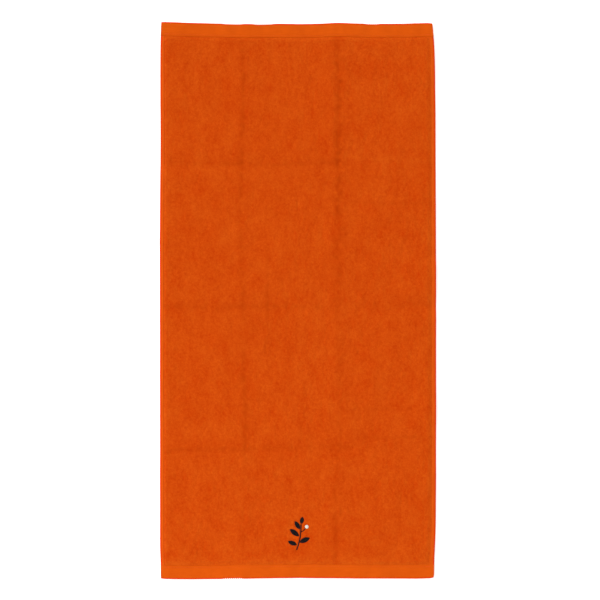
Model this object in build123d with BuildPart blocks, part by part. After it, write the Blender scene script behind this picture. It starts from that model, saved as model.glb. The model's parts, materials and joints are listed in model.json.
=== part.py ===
"""Quick-dry hand towel, laid flat with its front face up.

The terry cloth is a ground weave with a pile on each side.  It is hemmed all round, sewn with
lockstitch seams, carries an embroidered leaf sprig on the front and a blank care label on the back,
and is made in four quarters that fold along the three creases across its width.

X runs across the towel, Y along it, Z up.  The origin is under its middle, on the surface it lies on.
All lengths are in millimetres.
"""
import os

from build123d import *

os.makedirs("parts", exist_ok=True)

# ---- Outline and creases ----
towel_width = 500.0
towel_length = 1005.0
end_hem_width = 25.0
side_hem_width = 7.0
crease_positions = [-270.0, -10.0, 250.0]
crease_gap = 0.3

# ---- Layers, from the underside up ----
weave_thickness = 0.75
layer_gap = 0.15
back_pile_height = 2.05
front_pile_height = 2.0
pile_edge_radius = 0.8

# ---- Sewing ----
thread_width = 0.5
thread_height = 0.25
bobbin_height = 0.2
side_seam_inset = 1.5
end_seam_inset = 3.5
backtack_length = 8.0
backtack_width = 1.8
backtack_height = 0.4

# ---- Embroidered leaf sprig ----
motif_center = Vector(4.0, -421.0)
stem_points = [(-6.5, -30.0), (0.0, -6.0), (1.5, 16.0)]
stem_width = 2.0
stalk_points = [(1.6, 3.0), (6.2, 5.4), (9.3, 9.1)]
stalk_width = 1.2
berry_center = Vector(11.8, 12.4)
berry_radius = 3.3
# One row for each leaf: its base, the direction that it points in, its length and its width.
leaf_shapes = [
    (Vector(-6.2, -20.5), 158.0, 17.0, 8.0),
    (Vector(-1.0, -16.0), 24.0, 20.0, 9.0),
    (Vector(-2.2, -4.5), 143.0, 20.5, 9.0),
    (Vector(-0.6, 8.0), 122.0, 17.0, 8.0),
    (Vector(1.8, 17.6), 78.0, 12.8, 7.2),
]
pile_press = 1.2
underlay_height = 0.2
satin_height = 0.85
motif_margin = 0.4
backing_width = 54.0
backing_length = 70.0
backing_radius = 8.0
backing_thickness = 0.2
backing_floor = 0.45

# ---- Care label ----
label_width = 25.0
label_length = 40.0
label_center_x = 197.5
label_floor = 0.1
tape_thickness = 0.15
tape_gap = 0.05
label_setback = 0.2
label_margin = 0.5
label_clearance = 0.3
label_stitch_inset = 2.0

# ---- Derived sizes ----
weave_bottom = back_pile_height
weave_top = weave_bottom + weave_thickness
total_thickness = weave_top + front_pile_height
half_width = towel_width / 2
half_length = towel_length / 2
side_fold_x = half_width - side_hem_width
end_fold_y = half_length - end_hem_width
pressed_pile_top = total_thickness - pile_press
satin_floor = pressed_pile_top + underlay_height
hem_floor = weave_bottom - 2 * (weave_thickness + layer_gap)
label_hollow = label_floor + 2 * tape_thickness + tape_gap + label_clearance

# Each quarter's name, its lower end and its upper end along Y.
quarter_names = ["bottom", "lower", "upper", "top"]
lower_ends = [-end_fold_y] + [y + crease_gap / 2 for y in crease_positions]
upper_ends = [y - crease_gap / 2 for y in crease_positions] + [end_fold_y]
quarters = list(zip(quarter_names, lower_ends, upper_ends))


def save(block: BuildPart, node: str) -> None:
    """Label a finished sub-part and write its STEP file."""
    block.part.label = node
    export_step(block.part, f"parts/{node}.step")


def fold_plane(corner: tuple, outward: tuple) -> Plane:
    """Return the upright plane of a hem's cross-section, its X pointing out of the towel."""
    x_dir = Vector(*outward)
    return Plane(origin=corner, x_dir=x_dir, z_dir=x_dir.cross(Vector(0, 0, 1)))


def strip(center: tuple, length: float, width: float, bottom: float, height: float) -> BuildPart:
    """Build a flat strip, such as a layer of cloth or a row of thread."""
    with BuildPart() as block:
        with BuildSketch(Plane.XY.offset(bottom)):
            with Locations(center):
                Rectangle(length, width)
        extrude(amount=height)
    return block


def hem_profile(width: float) -> Sketch:
    """Draw a double-fold hem: over the outer edge, back inside, and out again to the raw edge."""
    outer_radius = weave_thickness + layer_gap + weave_thickness / 2
    outer_hollow = outer_radius - weave_thickness
    inner_radius = weave_thickness + layer_gap / 2
    inner_hollow = layer_gap / 2
    outer_turn = width - outer_radius
    inner_turn = layer_gap + inner_radius
    raw_edge = outer_turn - 2 * layer_gap
    middle = weave_top - outer_radius
    lower_middle = hem_floor + inner_radius
    with BuildSketch() as profile:
        with BuildLine():
            Line((0, weave_top), (outer_turn, weave_top))
            ThreePointArc((outer_turn, weave_top), (width, middle), (outer_turn, hem_floor))
            Line((outer_turn, hem_floor), (inner_turn, hem_floor))
            ThreePointArc(
                (inner_turn, hem_floor),
                (inner_turn - inner_radius, lower_middle),
                (inner_turn, lower_middle + inner_radius),
            )
            Polyline(
                (inner_turn, lower_middle + inner_radius),
                (raw_edge, lower_middle + inner_radius),
                (raw_edge, lower_middle + inner_hollow),
                (inner_turn, lower_middle + inner_hollow),
            )
            ThreePointArc(
                (inner_turn, lower_middle + inner_hollow),
                (inner_turn - inner_hollow, lower_middle),
                (inner_turn, lower_middle - inner_hollow),
            )
            Line((inner_turn, lower_middle - inner_hollow), (outer_turn, middle - outer_hollow))
            ThreePointArc(
                (outer_turn, middle - outer_hollow),
                (outer_turn + outer_hollow, middle),
                (outer_turn, middle + outer_hollow),
            )
            Polyline((outer_turn, weave_bottom), (0, weave_bottom), (0, weave_top))
        make_face()
    return profile.sketch


def label_profile() -> Sketch:
    """Draw the care label's tape, folded in two, from its sewn end to its fold."""
    fold_radius = tape_thickness + tape_gap / 2
    fold_start = label_length - fold_radius
    middle = label_floor + fold_radius
    with BuildSketch() as profile:
        with BuildLine():
            Line((0, middle + fold_radius), (fold_start, middle + fold_radius))
            ThreePointArc(
                (fold_start, middle + fold_radius),
                (label_length, middle),
                (fold_start, label_floor),
            )
            Polyline(
                (fold_start, label_floor),
                (0, label_floor),
                (0, middle - tape_gap / 2),
                (fold_start, middle - tape_gap / 2),
            )
            ThreePointArc(
                (fold_start, middle - tape_gap / 2),
                (fold_start + tape_gap / 2, middle),
                (fold_start, middle + tape_gap / 2),
            )
            Polyline(
                (fold_start, middle + tape_gap / 2),
                (0, middle + tape_gap / 2),
                (0, middle + fold_radius),
            )
        make_face()
    return profile.sketch


def band(points: list, width: float) -> Sketch:
    """Draw a narrow band of even width with round ends along an arc through three points."""
    with BuildSketch() as outline:
        with BuildLine():
            ThreePointArc(*[motif_center + Vector(*point) for point in points])
            offset(amount=width / 2, side=Side.BOTH)
        make_face()
    return outline.sketch


def leaves(margin: float) -> Sketch:
    """Draw the sprig's leaves, each one between two arcs, larger all round by the margin."""
    with BuildSketch() as outline:
        for base, angle, length, width in leaf_shapes:
            along = Vector(1, 0).rotate(Axis.Z, angle)
            across = Vector(0, 1).rotate(Axis.Z, angle) * (width / 2 + margin)
            start = motif_center + base - along * margin
            tip = start + along * (length + 2 * margin)
            middle = (start + tip) / 2
            with BuildLine():
                ThreePointArc(start, middle + across, tip)
                ThreePointArc(tip, middle - across, start)
            make_face()
    return outline.sketch


def stem(margin: float) -> Sketch:
    """Draw the sprig's stem and the stalk of its berry."""
    with BuildSketch() as outline:
        add(band(stem_points, stem_width + 2 * margin))
        add(band(stalk_points, stalk_width + 2 * margin))
    return outline.sketch


def berry(margin: float) -> Sketch:
    """Draw the sprig's round berry."""
    with BuildSketch() as outline:
        with Locations(motif_center + berry_center):
            Circle(berry_radius + margin)
    return outline.sketch


def sprig(margin: float, stem_margin: float) -> Sketch:
    """Draw the whole sprig as one outline."""
    with BuildSketch() as outline:
        add(leaves(margin))
        add(stem(stem_margin))
        add(berry(margin))
    return outline.sketch


def raised(outline: Sketch, bottom: float, height: float) -> BuildPart:
    """Build a flat piece of an outline, its underside at the given height."""
    with BuildPart() as block:
        with BuildSketch(Plane.XY.offset(bottom)):
            add(outline)
        extrude(amount=height)
    return block


# ---- The cloth of each quarter ----
side_profile = hem_profile(side_hem_width)
end_profile = hem_profile(end_hem_width)

for name, y_low, y_high in quarters:
    y_mid = (y_low + y_high) / 2
    y_length = y_high - y_low
    is_bottom = name == "bottom"

    ground_weave = strip((0, y_mid), 2 * side_fold_x, y_length, weave_bottom, weave_thickness)
    save(ground_weave, f"{name}_ground_weave")

    with BuildPart() as front_pile:
        with BuildSketch(Plane.XY.offset(weave_top)):
            with Locations((0, y_mid)):
                Rectangle(2 * side_fold_x, y_length)
        extrude(amount=front_pile_height)
        fillet(front_pile.faces().sort_by(Axis.Z)[-1].edges(), pile_edge_radius)
        if is_bottom:
            # The embroidery presses the pile down under its stitches.
            with BuildSketch(Plane.XY.offset(pressed_pile_top)):
                add(sprig(motif_margin, motif_margin))
            extrude(amount=pile_press, mode=Mode.SUBTRACT)
    save(front_pile, f"{name}_front_pile")

    with BuildPart() as back_pile:
        with BuildSketch():
            with Locations((0, y_mid)):
                Rectangle(2 * side_fold_x, y_length)
        extrude(amount=back_pile_height)
        fillet(back_pile.faces().sort_by(Axis.Z)[0].edges(), pile_edge_radius)
        if is_bottom:
            # The backing of the embroidery and the care label each lie in a hollow of the pile.
            with BuildSketch():
                with Locations(motif_center):
                    RectangleRounded(
                        backing_width + 2 * motif_margin,
                        backing_length + 2 * motif_margin,
                        backing_radius + motif_margin,
                    )
            extrude(amount=backing_floor + backing_thickness, mode=Mode.SUBTRACT)
            with BuildSketch():
                with Locations((label_center_x, y_low)):
                    Rectangle(label_width + 2 * label_margin, 2 * (label_length + 2 * label_margin))
            extrude(amount=label_hollow, mode=Mode.SUBTRACT)
    save(back_pile, f"{name}_back_pile")

    # ---- The quarter's side hems and their seams ----
    for side, sign in (("left", -1), ("right", 1)):
        profile_y = y_low if sign < 0 else y_high
        with BuildPart() as side_hem:
            with BuildSketch(fold_plane((sign * side_fold_x, profile_y, 0), (sign, 0, 0))):
                add(side_profile)
            extrude(amount=y_length)
        save(side_hem, f"{name}_{side}_hem")

        seam = (sign * (side_fold_x + side_seam_inset), y_mid)
        needle_thread = strip(seam, thread_width, y_length, weave_top, thread_height)
        save(needle_thread, f"{name}_{side}_needle_thread")
        bobbin_thread = strip(seam, thread_width, y_length, hem_floor - bobbin_height, bobbin_height)
        save(bobbin_thread, f"{name}_{side}_bobbin_thread")

# ---- The hem, seam and backtacks of each end ----
seam_length = 2 * (side_fold_x - backtack_length)
tack_x = side_fold_x - backtack_length / 2

for end, sign in (("bottom", -1), ("top", 1)):
    with BuildPart() as end_hem:
        with BuildSketch(fold_plane((-sign * half_width, sign * end_fold_y, 0), (0, sign, 0))):
            add(end_profile)
        extrude(amount=towel_width)
    save(end_hem, f"{end}_end_hem")

    seam_y = sign * (end_fold_y + end_seam_inset)
    needle_thread = strip((0, seam_y), seam_length, thread_width, weave_top, thread_height)
    save(needle_thread, f"{end}_end_needle_thread")
    bobbin_thread = strip((0, seam_y), seam_length, thread_width, hem_floor - bobbin_height, bobbin_height)
    save(bobbin_thread, f"{end}_end_bobbin_thread")

    # The seam is sewn back and forth at both of its ends.
    with BuildPart() as backtacks:
        with BuildSketch(Plane.XY.offset(weave_top)):
            with Locations((-tack_x, seam_y), (tack_x, seam_y)):
                Rectangle(backtack_length, backtack_width)
        extrude(amount=backtack_height)
    save(backtacks, f"{end}_end_backtacks")

# ---- The embroidered leaf sprig ----
save(raised(sprig(-motif_margin, -motif_margin / 2), pressed_pile_top, underlay_height), "motif_underlay")
save(raised(leaves(0), satin_floor, satin_height), "motif_leaves")
save(raised(stem(0), satin_floor, satin_height), "motif_stem")
save(raised(berry(0), satin_floor, satin_height), "motif_berry")

with BuildPart() as motif_backing:
    with BuildSketch(Plane.XY.offset(backing_floor)):
        with Locations(motif_center):
            RectangleRounded(backing_width, backing_length, backing_radius)
    extrude(amount=backing_thickness)
save(motif_backing, "motif_backing")

bobbin_floor = backing_floor - bobbin_height
save(raised(sprig(-motif_margin, -motif_margin / 2), bobbin_floor, bobbin_height), "motif_bobbin_thread")

# ---- The care label, caught in the seam at its lower end ----
with BuildPart() as care_label:
    label_corner = (label_center_x - label_width / 2, -end_fold_y + label_setback, 0)
    with BuildSketch(Plane(origin=label_corner, x_dir=(0, 1, 0), z_dir=(1, 0, 0))):
        add(label_profile())
    extrude(amount=label_width)
save(care_label, "care_label")

label_seam_y = -end_fold_y - label_stitch_inset
label_seam = strip(
    (label_center_x, label_seam_y), label_width, thread_width, hem_floor - bobbin_height, bobbin_height
)
save(label_seam, "label_seam_thread")
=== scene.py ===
"""Looks of a quick-dry hand towel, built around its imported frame.

The towel lies flat with its face up: X runs across it, Y along it, Z up, in metres.  Terry cloth, hems,
lockstitch seams, an embroidered leaf sprig and a blank care label are each made as meshes of their own.
Everything is drawn first on a perfectly flat towel, and then laid down by one function, so that the
cloth, the hems and the thread share the same wavy outline and the same gentle lift.
"""

import json
import logging
import math
from dataclasses import dataclass, field
from enum import Enum
from typing import Callable, Sequence

import bpy
import numpy as np
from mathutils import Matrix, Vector


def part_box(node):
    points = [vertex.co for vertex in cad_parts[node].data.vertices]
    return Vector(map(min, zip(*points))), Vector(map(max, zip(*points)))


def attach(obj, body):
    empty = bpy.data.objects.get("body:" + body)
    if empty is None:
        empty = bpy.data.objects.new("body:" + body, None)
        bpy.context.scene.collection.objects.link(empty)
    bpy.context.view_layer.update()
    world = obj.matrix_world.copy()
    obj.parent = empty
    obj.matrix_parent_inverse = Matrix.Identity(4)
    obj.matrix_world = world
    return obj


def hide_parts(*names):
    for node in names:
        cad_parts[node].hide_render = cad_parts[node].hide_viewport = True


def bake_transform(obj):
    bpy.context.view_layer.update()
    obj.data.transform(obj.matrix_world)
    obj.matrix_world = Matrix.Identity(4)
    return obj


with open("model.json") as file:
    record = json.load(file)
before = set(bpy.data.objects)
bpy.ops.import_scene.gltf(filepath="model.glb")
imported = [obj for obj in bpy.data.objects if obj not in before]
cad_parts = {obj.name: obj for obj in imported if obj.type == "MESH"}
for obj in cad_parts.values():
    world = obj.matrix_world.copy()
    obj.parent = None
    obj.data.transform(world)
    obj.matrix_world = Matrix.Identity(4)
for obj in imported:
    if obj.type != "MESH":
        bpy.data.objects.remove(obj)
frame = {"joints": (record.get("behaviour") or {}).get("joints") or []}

log = logging.getLogger("towel")

MM = 0.001
REST_ATTRIBUTE = "rest_mm"
# Mesh attribute of painted shade: along the pile's creases and where the hems turn over the edge; below 0 the
# pile is made paler.
PAINTED_SHADE_ATTRIBUTE = "nap"
THREAD_END = 0.55
Array = np.ndarray
Color = tuple[float, float, float]


# ---- Shader maths ----
class Signal:
    """A value that flows between shader nodes, with the usual operators."""

    def __init__(self, graph: "ShaderGraph", socket: bpy.types.NodeSocket) -> None:
        """Wrap one output socket of a graph."""
        self.graph = graph
        self.socket = socket

    def _math(self, operation: str, *values: "Signal | float") -> "Signal":
        """Add one Math node.

        Args:
            operation: the Math node's operation.
            values: its inputs, in order.

        Returns:
            The node's output.
        """
        return self.graph.node("ShaderNodeMath", {"operation": operation}, dict(enumerate(values)))

    def __add__(self, other: "Signal | float") -> "Signal":
        """Return self + other."""
        return self._math("ADD", self, other)

    __radd__ = __add__

    def __sub__(self, other: "Signal | float") -> "Signal":
        """Return self - other."""
        return self._math("SUBTRACT", self, other)

    def __rsub__(self, other: "Signal | float") -> "Signal":
        """Return other - self."""
        return self._math("SUBTRACT", other, self)

    def __mul__(self, other: "Signal | float") -> "Signal":
        """Return self * other."""
        return self._math("MULTIPLY", self, other)

    __rmul__ = __mul__

    def __truediv__(self, other: "Signal | float") -> "Signal":
        """Return self / other."""
        return self._math("DIVIDE", self, other)

    def __rtruediv__(self, other: "Signal | float") -> "Signal":
        """Return other / self."""
        return self._math("DIVIDE", other, self)

    def sine(self) -> "Signal":
        """Return the sine of self, in radians."""
        return self._math("SINE", self)

    def waves(self, pitch: float) -> "Signal":
        """Return waves from 0 to 1 that repeat after each pitch of self."""
        return 0.5 + 0.5 * (self * (2 * math.pi / pitch)).sine()

    def power(self, exponent: float) -> "Signal":
        """Return self raised to an exponent."""
        return self._math("POWER", self, exponent)

    def clamped(self) -> "Signal":
        """Return self kept between 0 and 1."""
        return self.graph.node("ShaderNodeClamp", None, {"Value": self})

    def ranged(self, low: float, high: float) -> "Signal":
        """Return self mapped from low..high to 0..1, smoothly and clamped.

        Args:
            low: the value that gives 0.
            high: the value that gives 1.

        Returns:
            The mapped value.
        """
        sockets = {"Value": self, "From Min": low, "From Max": high}
        return self.graph.node("ShaderNodeMapRange", {"interpolation_type": "SMOOTHSTEP"}, sockets)


class ShaderGraph:
    """The node tree of a material or a world."""

    def __init__(self, owner: bpy.types.Material | bpy.types.World) -> None:
        """Clear the owner's node tree.

        Args:
            owner: the material or world that the graph belongs to.
        """
        owner.use_nodes = True
        self.owner = owner
        self.tree = owner.node_tree
        self.tree.nodes.clear()

    @classmethod
    def surface(cls, name: str) -> "ShaderGraph":
        """Start a new material."""
        return cls(bpy.data.materials.new(name))

    def node(
        self,
        kind: str,
        settings: dict | None = None,
        sockets: dict | None = None,
        output: int | str = 0,
    ) -> Signal:
        """Add a node of any kind.

        Args:
            kind: the node's type name.
            settings: its properties, set before its sockets.
            sockets: values or signals by input name or index.
            output: which output to return.

        Returns:
            The chosen output.
        """
        made = self.tree.nodes.new(kind)
        for key, value in (settings or {}).items():
            setattr(made, key, value)
        for key, value in (sockets or {}).items():
            if isinstance(value, Signal):
                self.tree.links.new(value.socket, made.inputs[key])
            else:
                made.inputs[key].default_value = value
        return Signal(self, made.outputs[output]) if made.outputs else Signal(self, None)

    def attribute(self, name: str, output: str = "Vector") -> Signal:
        """Return a mesh attribute by name."""
        return self.node("ShaderNodeAttribute", {"attribute_name": name}, output=output)

    def stretched(self, vector: Signal, scale: Sequence[float]) -> Signal:
        """Return a vector multiplied by a scale on each axis.

        Args:
            vector: the vector.
            scale: the three factors.

        Returns:
            The scaled vector.
        """
        return self.node("ShaderNodeVectorMath", {"operation": "MULTIPLY"}, {0: vector, 1: tuple(scale)})

    def axes(self, vector: Signal) -> tuple[Signal, Signal, Signal]:
        """Split a vector into its parts.

        Args:
            vector: the vector.

        Returns:
            Its X, Y and Z.
        """
        parts = self.node("ShaderNodeSeparateXYZ", None, {0: vector})
        outputs = parts.socket.node.outputs
        return Signal(self, outputs[0]), Signal(self, outputs[1]), Signal(self, outputs[2])

    def noise(
        self, vector: Signal, scale: Sequence[float], detail: float = 2.0, roughness: float = 0.55
    ) -> Signal:
        """Return cloudy noise, from about 0 to 1.

        Args:
            vector: where to read it, in millimetres.
            scale: how many cycles it has to each millimetre, on each axis.
            detail: how many finer layers it has.
            roughness: how strong the finer layers are.

        Returns:
            The noise.
        """
        place = self.stretched(vector, scale)
        sockets = {"Vector": place, "Scale": 1.0, "Detail": detail, "Roughness": roughness}
        return self.node("ShaderNodeTexNoise", {"noise_dimensions": "3D"}, sockets)

    def cells(self, vector: Signal, scale: Sequence[float], randomness: float = 1.0) -> Signal:
        """Return the distance to the middle of the nearest of many scattered cells.

        Args:
            vector: where to read it, in millimetres.
            scale: how many cells it has to each millimetre, on each axis.
            randomness: how far the cells are moved off a regular grid.

        Returns:
            The distance.
        """
        sockets = {"Vector": self.stretched(vector, scale), "Randomness": randomness}
        return self.node("ShaderNodeTexVoronoi", {"feature": "F1"}, sockets, "Distance")

    def mix(self, factor: Signal | float, first: Signal | Color, second: Signal | Color) -> Signal:
        """Blend two colors.

        Args:
            factor: 0 gives the first, 1 the second.
            first: a color or a color signal.
            second: a color or a color signal.

        Returns:
            The blended color.
        """
        colors = [c if isinstance(c, Signal) else (*c, 1.0) for c in (first, second)]
        sockets = {0: factor, 6: colors[0], 7: colors[1]}
        return self.node("ShaderNodeMix", {"data_type": "RGBA"}, sockets, output=2)

    def bump(self, height: Signal, distance: float, strength: float = 1.0) -> Signal:
        """Return a normal tilted by a height.

        Args:
            height: the height, in units of distance.
            distance: how far a height of 1 stands out, in metres.
            strength: how much of the tilt is used.

        Returns:
            The normal.
        """
        sockets = {"Height": height, "Distance": distance, "Strength": strength}
        return self.node("ShaderNodeBump", None, sockets)

    def finish(self, **sockets: "Signal | float | Color") -> bpy.types.Material:
        """Close the graph with a Principled shader.

        Args:
            sockets: its inputs, with underscores for spaces.

        Returns:
            The finished material.
        """
        inputs = {}
        for key, value in sockets.items():
            is_color = isinstance(value, tuple) and len(value) == 3
            inputs[key.replace("_", " ")] = (*value, 1.0) if is_color else value
        shader = self.node("ShaderNodeBsdfPrincipled", None, inputs)
        self.node("ShaderNodeOutputMaterial", None, {"Surface": shader})
        return self.owner


# ---- Finishes ----
class Grain(Enum):
    """The way that a hem's ribs run."""

    ACROSS = 0
    ALONG = 1


@dataclass(frozen=True)
class TerryFinish:
    """Looped pile: soft orange loops with darker, redder gaps, lying in patches, with painted shade along its
    creases and paler pile near some hems.
    """

    name: str = "terry_loops"
    light: Color = (0.70, 0.100, 0.0050)
    dark: Color = (0.572, 0.040, 0.0001)
    # Painted shade: the colour that the pile turns towards along its creases.
    crease_shade: Color = (0.50, 0.043, 0.0004)
    fibre_mm: tuple[float, float] = (0.45, 0.8)
    loop_mm: tuple[float, float] = (1.3, 2.0)
    tuft_mm: tuple[float, float] = (2.7, 3.0)
    clump_mm: tuple[float, float] = (6.0, 7.5)
    patch_mm: tuple[float, float] = (28.0, 36.0)
    middle_tone: float = 0.48
    crown_tone: float = 0.5
    fibre_tone: float = 0.45
    tuft_tone: float = 1.15
    clump_tone: float = 0.75
    patch_tone: float = 0.6
    sway_mm: float = 2.2
    loop_depth: float = 0.45 * MM
    sheen: float = 0.08

    def material(self) -> bpy.types.Material:
        """Build the material.

        Returns:
            The finished material.
        """
        graph = ShaderGraph.surface(self.name)
        place = graph.attribute(REST_ATTRIBUTE)
        nap = graph.attribute(PAINTED_SHADE_ATTRIBUTE, "Fac")
        sway = graph.node(
            "ShaderNodeTexNoise",
            {"noise_dimensions": "3D"},
            {"Vector": place, "Scale": 0.55, "Detail": 2.0},
            output="Color",
        )
        lean = graph.stretched(sway, [self.sway_mm] * 3)
        leaning = graph.node("ShaderNodeVectorMath", {"operation": "ADD"}, {0: place, 1: lean})
        crown = 1.0 - graph.cells(leaning, self._scale(*self.loop_mm), 0.9).power(2.0)
        fibre = graph.noise(leaning, self._scale(*self.fibre_mm), 2.0, 0.6)
        tuft = graph.noise(place, self._scale(*self.tuft_mm), 2.0, 0.6)
        clump = graph.noise(place, self._scale(*self.clump_mm), 2.0, 0.55)
        patch = graph.noise(place, self._scale(*self.patch_mm), 1.0, 0.5)
        tone = self.middle_tone + self.crown_tone * (crown - 0.7) + self.fibre_tone * (fibre - 0.5)
        tone = tone + self.tuft_tone * (tuft - 0.5) + self.clump_tone * (clump - 0.5)
        # The painted shade attribute darkens the pile towards the painted crease shade colour; below 0 it
        # makes the pile paler.
        tone = tone + self.patch_tone * (patch - 0.5) + (0.0 - nap).clamped()
        cloth = graph.mix(tone.clamped(), self.dark, self.light)
        color = graph.mix(nap.clamped(), cloth, self.crease_shade)
        height = 0.8 * crown + 0.35 * fibre + 0.8 * tuft
        return graph.finish(
            Base_Color=color,
            Roughness=0.95,
            Specular_IOR_Level=0.03,
            Sheen_Weight=self.sheen,
            Sheen_Roughness=0.55,
            Sheen_Tint=(1.0, 0.30, 0.02),
            Normal=graph.bump(height, self.loop_depth),
        )

    @staticmethod
    def _scale(across_mm: float, along_mm: float) -> tuple[float, float, float]:
        """Return the scale that turns millimetres into cycles of the given sizes."""
        return (1.0 / across_mm, 1.0 / along_mm, 1.0 / across_mm)


@dataclass(frozen=True)
class HemFinish:
    """Smooth ribbed cloth of the borders and side bands, with darker, redder shade painted where it turns
    over the edge.
    """

    name: str
    grain: Grain
    light: Color = (0.715, 0.100, 0.0030)
    dark: Color = (0.588, 0.069, 0.0008)
    # Painted shade where the cloth turns over the edge.
    rim: Color = (0.70, 0.032, 0.0003)
    rib_mm: float = 0.9
    slub_mm: tuple[float, float] = (1.2, 16.0)
    cloud_mm: float = 18.0
    relief: float = 0.16 * MM

    def material(self) -> bpy.types.Material:
        """Build the material.

        Returns:
            The finished material.
        """
        graph = ShaderGraph.surface(self.name)
        place = graph.attribute(REST_ATTRIBUTE)
        x, y, _ = graph.axes(place)
        across, along = (y, x) if self.grain is Grain.ALONG else (x, y)
        weave = across.waves(self.rib_mm) * along.waves(0.8 * self.rib_mm)
        thin, long = self.slub_mm
        sizes = (long, thin, thin) if self.grain is Grain.ALONG else (thin, long, thin)
        slub = graph.noise(place, [1.0 / size for size in sizes], 3.0, 0.6)
        cloud = graph.noise(place, [1.0 / self.cloud_mm] * 3, 2.0, 0.5)
        tone = 0.5 + 0.3 * (weave - 0.25) + 0.9 * (slub - 0.5) + 0.7 * (cloud - 0.5)
        cloth = graph.mix(tone.clamped(), self.dark, self.light)
        # The painted shade attribute marks where the cloth turns over the edge; shade is painted there.
        edge = graph.attribute(PAINTED_SHADE_ATTRIBUTE, "Fac")
        return graph.finish(
            Base_Color=graph.mix(edge.clamped(), cloth, self.rim),
            Roughness=0.80 + 0.12 * slub,
            Specular_IOR_Level=0.05,
            Sheen_Weight=0.04,
            Sheen_Roughness=0.45,
            Sheen_Tint=(1.0, 0.35, 0.03),
            Normal=graph.bump(0.6 * weave + 0.5 * slub, self.relief),
        )


@dataclass(frozen=True)
class ThreadFinish:
    """Twisted thread: plies wind round it, and it is a little uneven along its length."""

    name: str
    light: Color
    dark: Color
    roughness: float
    gloss: float
    twist_mm: float = 1.1
    relief: float = 0.05 * MM

    def material(self) -> bpy.types.Material:
        """Build the material.

        Returns:
            The finished material.
        """
        graph = ShaderGraph.surface(self.name)
        place = graph.attribute(REST_ATTRIBUTE)
        x, y, z = graph.axes(place)
        plies = (x + y + 2.0 * z).waves(self.twist_mm)
        uneven = graph.noise(place, [0.45] * 3, 2.0, 0.6)
        tone = 0.5 * plies + 0.6 * uneven
        return graph.finish(
            Base_Color=graph.mix(tone.ranged(0.1, 1.0), self.dark, self.light),
            Roughness=self.roughness + 0.15 * uneven,
            Specular_IOR_Level=self.gloss,
            Normal=graph.bump(plies, self.relief, 0.7),
        )


@dataclass(frozen=True)
class FleeceFinish:
    """Non-woven backing: pale felted fibres with small dents."""

    name: str = "backing_fleece"
    light: Color = (0.82, 0.81, 0.78)
    dark: Color = (0.66, 0.64, 0.60)
    relief: float = 0.12 * MM

    def material(self) -> bpy.types.Material:
        """Build the material.

        Returns:
            The finished material.
        """
        graph = ShaderGraph.surface(self.name)
        place = graph.attribute(REST_ATTRIBUTE)
        fibres = graph.noise(place, (0.9, 2.6, 1.0), 5.0, 0.75)
        tone = 0.7 * fibres + 0.4 * graph.cells(place, [0.7] * 3)
        return graph.finish(
            Base_Color=graph.mix(tone.ranged(0.2, 0.9), self.dark, self.light),
            Roughness=0.9,
            Sheen_Weight=0.1,
            Normal=graph.bump(tone, self.relief),
        )


@dataclass(frozen=True)
class TapeFinish:
    """Blank satin tape of the care label, with fine warp lines and woven selvedges."""

    name: str = "label_tape"
    light: Color = (0.86, 0.86, 0.84)
    dark: Color = (0.70, 0.70, 0.68)
    warp_mm: float = 0.35
    relief: float = 0.04 * MM

    def material(self) -> bpy.types.Material:
        """Build the material.

        Returns:
            The finished material.
        """
        graph = ShaderGraph.surface(self.name)
        place = graph.attribute(REST_ATTRIBUTE)
        x, y, _ = graph.axes(place)
        weave = x.waves(self.warp_mm) * y.waves(2.2 * self.warp_mm)
        cloud = graph.noise(place, [0.15] * 3, 3.0, 0.6)
        tone = 0.3 * weave + 0.7 * cloud
        return graph.finish(
            Base_Color=graph.mix(tone.ranged(0.1, 0.9), self.dark, self.light),
            Roughness=0.34 + 0.2 * cloud,
            Normal=graph.bump(weave, self.relief),
        )


@dataclass(frozen=True)
class FloorFinish:
    """Plain pale studio floor."""

    name: str = "studio_floor"
    color: Color = (0.93, 0.93, 0.93)
    glow: float = 0.5

    def material(self) -> bpy.types.Material:
        """Build the material.

        Returns:
            The finished material.
        """
        graph = ShaderGraph.surface(self.name)
        return graph.finish(
            Base_Color=self.color,
            Roughness=0.9,
            Specular_IOR_Level=0.1,
            Emission_Color=(1.0, 1.0, 1.0),
            Emission_Strength=self.glow,
        )


@dataclass(frozen=True)
class Finishes:
    """Every finish that the towel uses, each built once."""

    terry: bpy.types.Material
    side_hem: bpy.types.Material
    end_hem: bpy.types.Material
    sewing: bpy.types.Material
    black: bpy.types.Material
    white: bpy.types.Material
    fleece: bpy.types.Material
    tape: bpy.types.Material

    @classmethod
    def mixed(cls) -> "Finishes":
        """Build every finish.

        Returns:
            The finishes.
        """
        return cls(
            terry=TerryFinish().material(),
            side_hem=HemFinish(
                "side_hem_cloth", Grain.ACROSS, light=(0.73, 0.098, 0.0038), dark=(0.60, 0.066, 0.0012)
            ).material(),
            end_hem=HemFinish("end_hem_cloth", Grain.ALONG).material(),
            sewing=ThreadFinish(
                "orange_thread", (0.82, 0.115, 0.004), (0.62, 0.068, 0.001), roughness=0.55, gloss=0.15
            ).material(),
            black=ThreadFinish(
                "black_satin_thread", (0.007, 0.007, 0.009), (0.002, 0.002, 0.003), roughness=0.45, gloss=0.12
            ).material(),
            white=ThreadFinish(
                "white_satin_thread", (0.88, 0.85, 0.76), (0.66, 0.62, 0.52), roughness=0.4, gloss=0.35
            ).material(),
            fleece=FleeceFinish().material(),
            tape=TapeFinish().material(),
        )


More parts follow.
